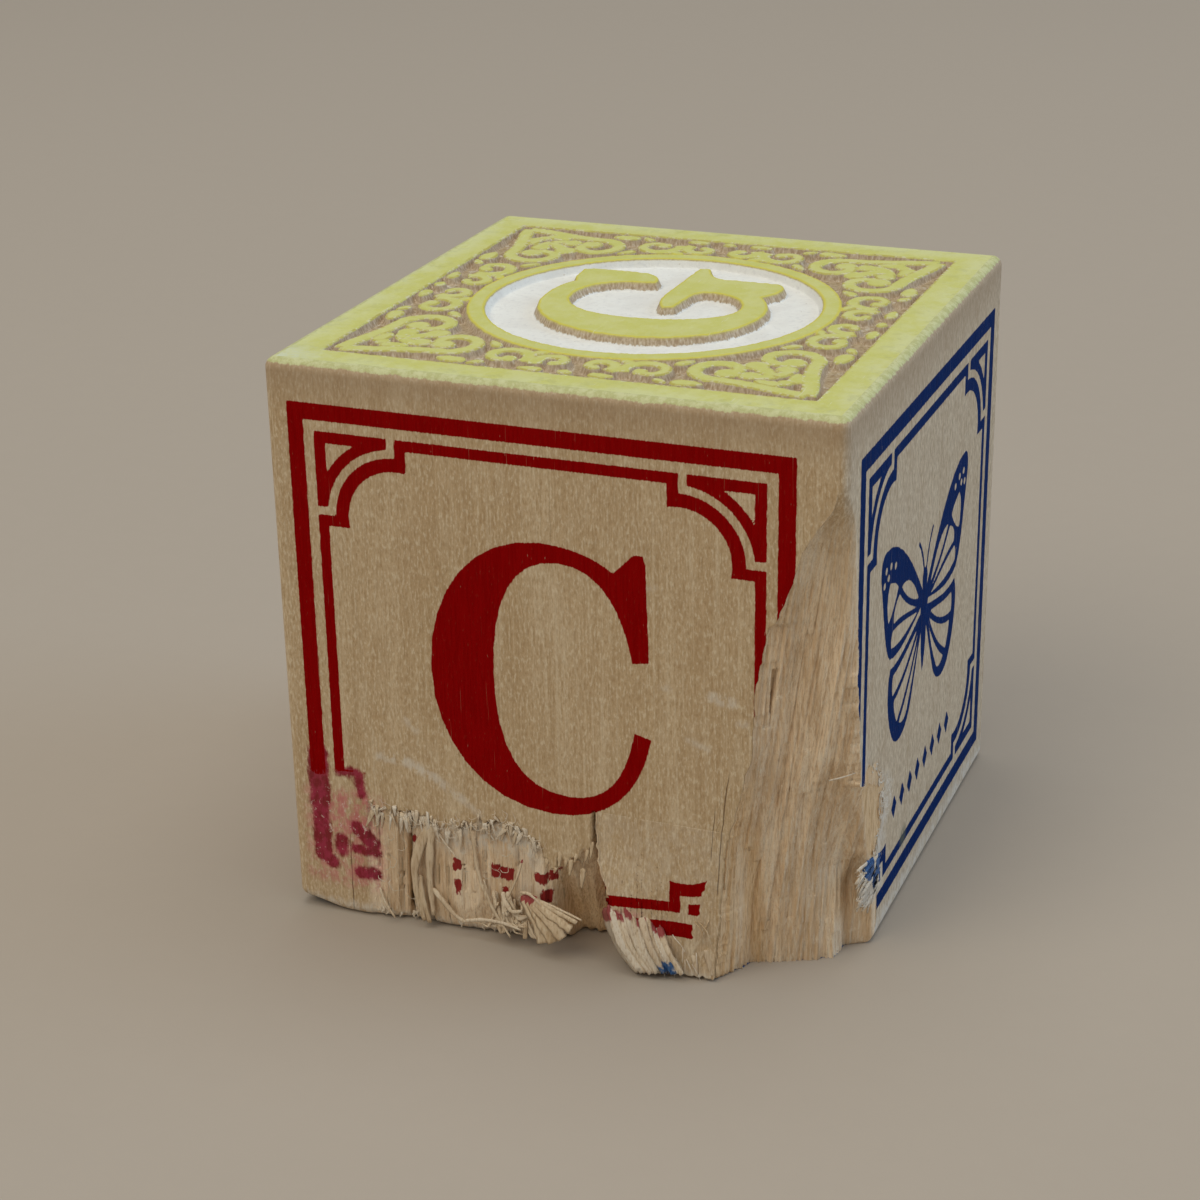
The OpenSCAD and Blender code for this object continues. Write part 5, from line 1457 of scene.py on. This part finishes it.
def foot_curls(chips):
    for _ in range(30):
        u, z = rng.uniform(16.9, 20.0), rng.uniform(2.2, 4.6)
        turn, drop = rng.normal(0.4, 0.7), rng.uniform(1.0, 2.2)
        low = max(z - drop, 0.7)
        points = [(u, z, 0.0), (u + 0.15 * turn, lerp(z, low, 0.4), rng.uniform(0.1, 0.35)),
                  (u + 0.6 * turn, low, rng.uniform(0.25, 0.6)),
                  (u + 1.3 * turn, low + rng.uniform(-0.1, 0.6), rng.uniform(0.2, 0.6))]
        strip_along(chips, points, rng.uniform(0.16, 0.50), 0.12, white=rng.uniform(0.1, 0.4))


def hanging_flakes(chips):
    for _ in range(95):
        u = rng.uniform(6.6, 21.0)
        z = chew_top(u) + rng.uniform(-0.25, 0.45)
        length, lean = rng.uniform(0.4, 1.9), rng.normal(0.05, 0.35)
        out = rng.uniform(0.0, 0.20)
        points = [(u, z, -0.10), (u + 0.3 * lean, z - 0.35 * length, out), (u + lean, z - length, out - 0.10)]
        strip_along(chips, points, rng.uniform(0.12, 0.50), 0.06, taper=0.2, white=rng.uniform(0.2, 1.0))
    for u, drop, wide in TEETH:
        top = read(CHEW_LINE, u) + 0.5
        points = [(u + 0.1, top, -0.10), (u, top - 0.5 * drop, 0.02), (u - 0.1, top - drop, -0.02)]
        strip_along(chips, points, wide, 0.14, taper=0.35, white=0.05)


def band_hairs(chips):
    for i in range(80):
        u = rng.uniform(6.6, 20.6)
        z = max(chew_top(u) - (rng.uniform(-0.5, 0.6) if i % 3 else rng.uniform(0.5, 7.5)), 2.2)
        a, k, out = rng.uniform(-2.4, 0.4), rng.uniform(0.3, 1.1), rng.uniform(0.05, 0.35)
        points = [(u, z, -0.1), (*off(u, z, 0.4 * k, a), out), (*off(u, z, k, a + 0.7), out),
                  (*off(u, z, 1.2 * k, a + 1.5), 0.5 * out)]
        strip_along(chips, points, rng.uniform(0.03, 0.07), 0.035, taper=0.3, white=0.8)


def lower_fuzz(chips):
    for _ in range(18):
        u = rng.uniform(5.0, 20.0)
        z = rng.uniform(0.50, 0.80)
        back = 0.95 * bite_foot(u)
        z += LEAN_UP * back
        points = [(u, z + 0.3, -back - 0.06), (u + rng.normal(0, 0.1), z, -back),
                  (u + rng.normal(0, 0.15), z - 0.3, -0.06 - back)]
        strip_along(chips, points, rng.uniform(0.10, 0.30), 0.04, taper=0.3, white=0.7)


chips = Strips()
for add_some in (large_splinters, foot_curls, hanging_flakes, band_hairs, lower_fuzz):
    add_some(chips)
finish_piece(chips.mesh("front_splinters_look"), fibre_mat, "torn_basswood", "front_splinters")


# Torn flap under the letter. Its left edge: height, place
FLAP_EDGE = [(0.0, 29.2), (0.9, 28.3), (2.4, 27.3), (4.0, 26.75), (5.3, 26.4), (7.2, 25.85), (9.7, 25.56),
             (12.0, 25.58), (12.6, 25.60)]
FLAP_TOP, FLAP_ROWS, FLAP_COLUMNS = 12.7, 150, 110
# Where ink ends towards the break: height, place
INK_END = [(3.0, 33.1), (4.6, 33.3), (5.6, 33.7), (7.0, 33.9), (9.0, 34.45), (9.6, 34.7)]
FLAP_SMUDGES = [((27.3, 4.5), (27.9, 4.0), 0.50), ((28.4, 4.25), (30.0, 3.9), 0.30)]


def flap_plan():
    """Places and heights of the flap's points: its lower edge is lifted where fibres are pulled out."""
    z = np.linspace(0.0, FLAP_TOP, FLAP_ROWS)[:, None]
    right = np.minimum(front_reach(z), 35.6) - 0.04
    left = read(FLAP_EDGE, z) + 0.10 * noise(z / 0.5, 0, 131) * (1 - smooth(11, 12, z))
    u = left + (right - left) * np.linspace(0, 1, FLAP_COLUMNS)
    hem = 0.12 + 0.22 * cell(u / 0.45, 0, 132) + 0.10 * noise(u / 0.2, 0, 133)
    low = hem + 2.9 * (1 - smooth(30.6, 32.6, u)) * (0.80 + 0.30 * cell(u / 0.38, 0, 134))
    return u, low + z / FLAP_TOP * (FLAP_TOP - low), np.broadcast_to(u - left, u.shape)


def flap_faces_of(u, z):
    """How far back the flap's front and its rear lie: it bends out towards the foot."""
    bend = 0.85 * (1 - smooth(4.0, 11.0, z)) * (1 - smooth(26.0, 32.2, u)) + 0.16 * (1 - smooth(0, 3.0, z))
    strip = 0.10 * (cell(u / 0.5 + 0.4 * noise(z / 3, 0, 135), 0, 136) - 0.4) * (1 - smooth(3.0, 5.2, z))
    fibre = 0.02 * noise(u / 0.18, z / 2.0, 137) * (1 - smooth(4, 7, z))
    front = -HALF - 0.012 - bend - strip - fibre
    along = np.linspace(0, 1, FLAP_COLUMNS)
    thick = np.minimum(0.08 + (FLAP_TOP - z) / FLAP_TOP * 1.3, 1.15) * smooth(0, 0.02, along + 0.005)
    return front, front + thick


def flap_ink(u, z):
    points = np.stack([u - HALF - FRONT_SHIFT[0], z - MID - FRONT_SHIFT[1]], 1)
    ink = joined(*(shape(points) for shape in (outer_sdf, inner_sdf, corners_sdf, letter_c_sdf)))
    lost = u - read(INK_END, z) - 0.12 * noise(z / 0.35, 0, 139)
    ink = np.maximum(ink, np.clip(np.maximum(lost, 3.3 - z), -FAR, FAR))
    return np.where((u < 28.0) & (z < 5.1), np.maximum(ink, 28.0 - u), ink)


def flap_fields(u, z, from_edge):
    """Looks of the flap's front, then those of its rear."""
    at = np.stack([u, z], 1)
    frayed_foot = (1 - smooth(3.2, 4.6, z + 0.4 * noise(u / 0.4, 0, 138))) * (1 - smooth(30.5, 32.5, u))
    across, wide = crack_fields(u, z)
    plain = {key: FAR if key in ("ink", "mark", "smudge", "crack_across") else 0 for key in field}
    front = {**plain, "ink": flap_ink(u, z), "crack_across": across, "crack_wide": wide,
             "torn": np.maximum(0.8 * (1 - smooth(0.0, 0.25, from_edge)), frayed_foot),
             "smudge": joined(*(segment_sdf(at, *smudge) for smudge in FLAP_SMUDGES)),
             "haze": 0.8 * smooth(5.4, 4.6, z) * smooth(3.0, 3.8, z) * (1 - smooth(28.5, 30.0, u)),
             "rub": 0.10 + 0.35 * (1 - smooth(3.4, 4.8, z)) * (1 - smooth(30, 32.0, u)),
             "white": np.maximum(0.8 * (1 - smooth(0.2, 1.0, z)), 0.20)}
    # the rear faces into the block and gets painted shade
    rear = {**plain, "torn": 1, "dark": 0.3}
    sides = {key: [np.broadcast_to(side[key], u.shape) for side in (front, rear)] for key in field}
    return {key: np.concatenate(values) for key, values in sides.items()}


def flap():
    u, z, from_edge = flap_plan()
    points = [np.stack([u - HALF, y, z], -1).reshape(-1, 3) for y in flap_faces_of(u, z)]
    front = grid_faces(*u.shape)
    faces = np.concatenate([front, front[:, ::-1] + u.size, rim_faces(*u.shape)])
    looks = flap_fields(u.ravel(), z.ravel(), from_edge.ravel())
    return build("front_flap_look", np.concatenate(points), faces, looks)


finish_piece(flap(), red_mat, "torn_basswood", "front_flap")

# Loose ends and ribbons along the break: measured points, width
RIBBONS = [([(36.5, 17.8, -0.14), (36.1, 13.0, -0.16), (35.75, 8.0, -0.16)], 0.26),
           ([(33.3, 4.9, 0.02), (33.8, 4.3, 0.30), (34.1, 3.2, 0.35)], 0.10),
           ([(33.6, 5.0, 0.02), (34.3, 4.2, 0.35), (34.6, 3.0, 0.35)], 0.08),
           ([(34.5, 5.2, 0.02), (34.0, 4.2, 0.30), (33.6, 3.2, 0.30)], 0.08),
           ([(34.2, 2.6, 0.0), (34.5, 1.4, 0.10), (34.7, 0.5, 0.15)], 0.50),
           ([(33.2, 2.0, 0.05), (33.4, 1.2, 0.20), (33.5, 0.3, 0.25)], 0.45)]
FAN_STRIPS = 52


def fanned_foot(foot):
    """Splayed strips of the flap's foot, every third one under the others."""
    along = np.linspace(0, 1, 3 * STEPS + 1)
    for i in range(FAN_STRIPS):
        s = (i + 0.5) / FAN_STRIPS
        clump = 0.5 + 0.5 * math.sin(s * 19.0 + 0.6)
        lower = i % 3 == 0
        u0 = lerp(26.25, 30.6, s) + rng.normal(0, 0.06)
        z0 = lerp(4.85, 3.4, s) + 0.75 * clump * (s > 0.2) + rng.normal(0, 0.12)
        u1 = lerp(28.6, 32.2, s ** 1.15) + rng.normal(0, 0.20)
        z1 = lerp(-0.45, 0.10, s) + abs(rng.normal(0, 0.12))
        out0 = lerp(0.72, 0.22, s)
        out1 = lerp(1.20, 0.70, s) + (-0.30 if lower else rng.uniform(0.05, 0.30))
        swell = -0.22 if lower else rng.uniform(0.02, 0.22)
        bow = 0.30 * (1 - s)
        points = [(u0, z0, out0 - 0.10),
                  (lerp(u0, u1, 0.18) - 0.4 * bow, lerp(z0, z1, 0.28), lerp(out0, out1, 0.35) + 0.5 * swell),
                  (lerp(u0, u1, 0.48) - bow, lerp(z0, z1, 0.62), lerp(out0, out1, 0.75) + swell),
                  (u1, z1, out1)]
        u, z = lerp(u0, u1, along), lerp(z0, z1, along)
        blue = 0.66 * between(30.1, 30.8, 31.5, 32.2, u) * smooth(1.6, 0.6, z)
        red = 0.95 * smooth(0.46, 0.08, along)
        wide = rng.uniform(0.35, 0.85) * (1.15 - 0.4 * s) * (0.4 if i % 2 else 1.0)
        # every third strip lies under the others and gets painted shade
        strip_along(foot, points, wide, rng.uniform(0.14, 0.26), taper=0.7, white=0.25 + 0.7 * rng.random(),
                    stain=blue, dark=0.45 * lower, smear=red * (rng.random() < 0.8))


def foot_hairs(foot):
    for _ in range(26):
        u, z = rng.uniform(27.5, 33.5), rng.uniform(0.6, 3.4)
        bend, out = rng.normal(0.3, 0.5), rng.uniform(0.4, 0.9)
        points = [(u, z, 0.1), (u + 0.2 * bend, z - 0.3, out * 0.8), (u + 0.7 * bend, z - 0.8, out),
                  (u + bend, z - 1.3, out)]
        strip_along(foot, points, rng.uniform(0.04, 0.09), 0.05, white=0.9)
    for points, wide in RIBBONS:
        strip_along(foot, points, wide, 0.14, white=0.0 if wide < 0.3 else 0.3)


foot = Strips()
fanned_foot(foot)
foot_hairs(foot)
finish_piece(foot.mesh("front_flap_fibres_look"), fibre_mat, "torn_basswood")

# Frayed sliver of the right face over the break. Bits of print that cling to it: middle, radius
BLUE_BITS = [((22.0, 8.4 - HALF, 7.0), 0.85), ((22.0, 10.5 - HALF, 6.4), 0.85),
             ((22.0, 9.4 - HALF, 5.6), 0.60), ((22.0, 11.2 - HALF, 5.2), 0.60)]
# Where the sound right face ends beside it: height, in from the front
SOUND_EDGE = [(8.4, 10.5), (11.4, 11.9), (14.4, 10.6), (15.6, 9.3)]
# Hairs on the break: both ends (right, in from the front, height), width
BREAK_HAIRS = [((20.2, 3.6, 16.4), (21.85, 4.75, 16.75), 0.13), ((18.0, 2.4, 27.2), (18.6, 2.6, 26.6), 0.09),
               ((15.0, 1.2, 21.0), (15.5, 1.4, 20.2), 0.09), ((19.5, 2.6, 33.0), (19.9, 2.8, 32.2), 0.07)]


def torn_place(t, out, z):
    """A point over the torn surface beside the right face: t runs from the sound face (0) to its far end (1)."""
    x, d = np.interp(t, [0, 0.5, 1], [22.12, 22.05, 21.5]), lerp(11.3, 6.5, t)
    return np.array([x + 0.80 * out * t + 0.25 * out, d - 0.55 * out * t - HALF, z + 0.5 * t])


def blue_bits(path):
    """Where printed bits cling to the bundle."""
    gaps = [np.linalg.norm((path - middle) * [0.4, 1, 1], axis=1) - r for middle, r in BLUE_BITS]
    return smooth(0.25, -0.15, np.min(gaps, 0))


def bent(*points, steps=12):
    return bezier(*points, np.linspace(0, 1, steps))


def frayed_bundle(frayed):
    for i in range(84):
        s = rng.random()
        z0, t = lerp(4.4, 7.2, s) + rng.normal(0, 0.1), rng.uniform(0.40, 1.0)
        z1 = lerp(4.4, 7.0, s) + rng.normal(0.0, 0.45)
        lift = rng.uniform(0.15, 0.55)
        path = bent(torn_place(0.0, -0.1, z0), torn_place(0.30 * t, lift, lerp(z0, z1, 0.3) + 0.15),
                    torn_place(1.05 * t, lift * 1.3, z1 + 0.1),
                    torn_place(0.95 * t, rng.uniform(-0.1, 0.3), z1 - 0.75), steps=20)
        # every fourth strip gets painted shade
        frayed.add(path, rng.uniform(0.20, 0.48), rng.uniform(0.10, 0.20), (0.86, -0.5, 0.1), 0.5, white=0.8,
                   stain=blue_bits(path), dark=0.35 * (i % 4 == 0))
    for _ in range(60):
        z, t = rng.uniform(3.9, 7.4), rng.uniform(0.15, 1.0)
        a = rng.uniform(0, 2 * math.pi)
        k = rng.uniform(0.20, 0.55)
        path = bent(torn_place(t, 0.1, z), torn_place(t + 0.08 * math.cos(a), 0.5, z + 0.4 * k * math.sin(a)),
                    torn_place(t + 0.16 * k * math.cos(a + 1), 0.5, z + k * math.sin(a + 1)),
                    torn_place(t + 0.2 * k * math.cos(a + 2), 0.2, z + k * math.sin(a + 2)))
        frayed.add(path, rng.uniform(0.04, 0.12), 0.06, (0.86, -0.5, 0), 0.4, white=1.0,
                   stain=0.8 * blue_bits(path))


def right_face_fuzz(frayed):
    """White fuzz where the sound right face ends."""
    for _ in range(110):
        z = rng.uniform(4.2, 15.6)
        y = max(right_reach(z), read(SOUND_EDGE, z)) + rng.normal(-0.1, 0.45) - HALF
        a, k = rng.uniform(0, 2 * math.pi), rng.uniform(0.25, 0.9)
        path = bent((HALF - 0.12, y, z), (HALF - 0.02, *off(y, z, 0.6 * k, a)),
                    (HALF - 0.02, *off(y, z, k, a + 0.9)), (HALF - 0.15, *off(y, z, k, a + 1.8)), steps=10)
        frayed.add(path, rng.uniform(0.06, 0.22), 0.05, (1, 0, 0), 0.4, white=1.0)


def right_face_curls(frayed):
    """Curled fibres on the scuffed corner of the right face."""
    for _ in range(34):
        y, z = rng.uniform(11.2, 14.0) - HALF, rng.uniform(10.2, 12.8)
        a, k = rng.uniform(0, 2 * math.pi), rng.uniform(0.4, 1.1)
        path = bent((HALF - 0.05, y, z), (HALF - 0.01, *off(y, z, k, a)),
                    (HALF - 0.01, *off(y, z, 1.4 * k, a + 1.1)), (HALF, *off(y, z, k, a + 2.2)))
        frayed.add(path, rng.uniform(0.08, 0.16), 0.05, (1, 0, 0), 0.4, white=1.0)


def break_hairs(frayed):
    for start, end, wide in BREAK_HAIRS:
        start, end = np.array(start) - [0, HALF, 0], np.array(end) - [0, HALF, 0]
        middle = [lerp(start, end, t) + [0.05, -0.12, 0] for t in (0.3, 0.7)]
        frayed.add(bent(start, *middle, end), wide, 0.06, (0.5, -0.8, 0), 0.5, white=0.9)


frayed = Strips()
for add_some in (frayed_bundle, right_face_fuzz, right_face_curls, break_hairs):
    add_some(frayed)
finish_piece(frayed.mesh("side_flap_look"), fibre_mat, "torn_basswood", "side_flap")


# Floor, lights and camera
def floor():
    half = 3
    me = bpy.data.meshes.new("floor")
    corners = [(-half, -half, 0), (half, -half, 0), (half, half, 0), (-half, half, 0)]
    me.from_pydata(corners, [], [(0, 1, 2, 3)])
    n = Nodes("floor_paint")
    grain = n.noise(0.35, 3.0, 0.6)
    colour = n.mix(n.step(grain, 0.3, 0.7, 0.0, 0.06), (0.43, 0.370, 0.300), (0.38, 0.325, 0.265))
    me.materials.append(n.finish(colour, 0.8, n.bump(grain, 0.02, 0.2), 0.2))
    return link(bpy.data.objects.new("floor", me))


# Name, place, what it faces, size, power, tint
LAMPS = [("key", (-0.35, -0.75, 1.05), (0, 0, 0.02), 0.9, 5.4, (1.0, 0.93, 0.80)),
         ("sky", (0.05, 0.10, 1.30), (0, 0, 0), 1.2, 6.8, (1.0, 1.0, 0.98)),
         ("cool", (1.10, 0.45, 0.55), (0, 0, 0.02), 0.9, 5.2, (0.48, 0.70, 1.0))]
SKY_TINT, SKY_STRENGTH = (0.96, 0.98, 1.0, 1), 0.29
# The photograph's view: directions to the right and ahead, place, lens
VIEW_RIGHT, VIEW_AHEAD = Vector((0.9299, 0.3675, -0.0174)), Vector((-0.3451, 0.8549, -0.3874))
VIEW_PLACE, VIEW_LENS, SENSOR, VIEW_SHIFT = (0.06681, -0.17796, 0.10033), 76.40, 36.0, (0.00081, 0.00044)


def area_light(name, place, aim, size, power, tint):
    lamp = bpy.data.lights.new(name, "AREA")
    lamp.shape, lamp.size, lamp.energy, lamp.color = "DISK", size, power, tint
    ob = link(bpy.data.objects.new(name, lamp))
    ob.location = place
    ob.rotation_euler = (Vector(aim) - Vector(place)).to_track_quat("-Z", "Y").to_euler()


def camera():
    ahead = VIEW_AHEAD.normalized()
    up = VIEW_RIGHT.normalized().cross(ahead).normalized()
    right = ahead.cross(up).normalized()
    cam = bpy.data.cameras.new("camera")
    cam.lens, cam.sensor_width = VIEW_LENS, SENSOR
    cam.shift_x, cam.shift_y = VIEW_SHIFT
    cam.clip_start, cam.clip_end = 0.01, 20
    ob = link(bpy.data.objects.new("camera", cam))
    turn = Matrix((right, up, -ahead)).transposed().to_4x4()
    ob.matrix_world = Matrix.Translation(VIEW_PLACE) @ turn
    return ob


floor()
for lamp in LAMPS:
    area_light(*lamp)
world = bpy.data.worlds.new("studio")
world.use_nodes = True
background = world.node_tree.nodes["Background"]
background.inputs[0].default_value = SKY_TINT
background.inputs[1].default_value = SKY_STRENGTH
bpy.context.scene.world = world
bpy.context.scene.view_settings.view_transform = "Standard"
bpy.context.scene.camera = camera()
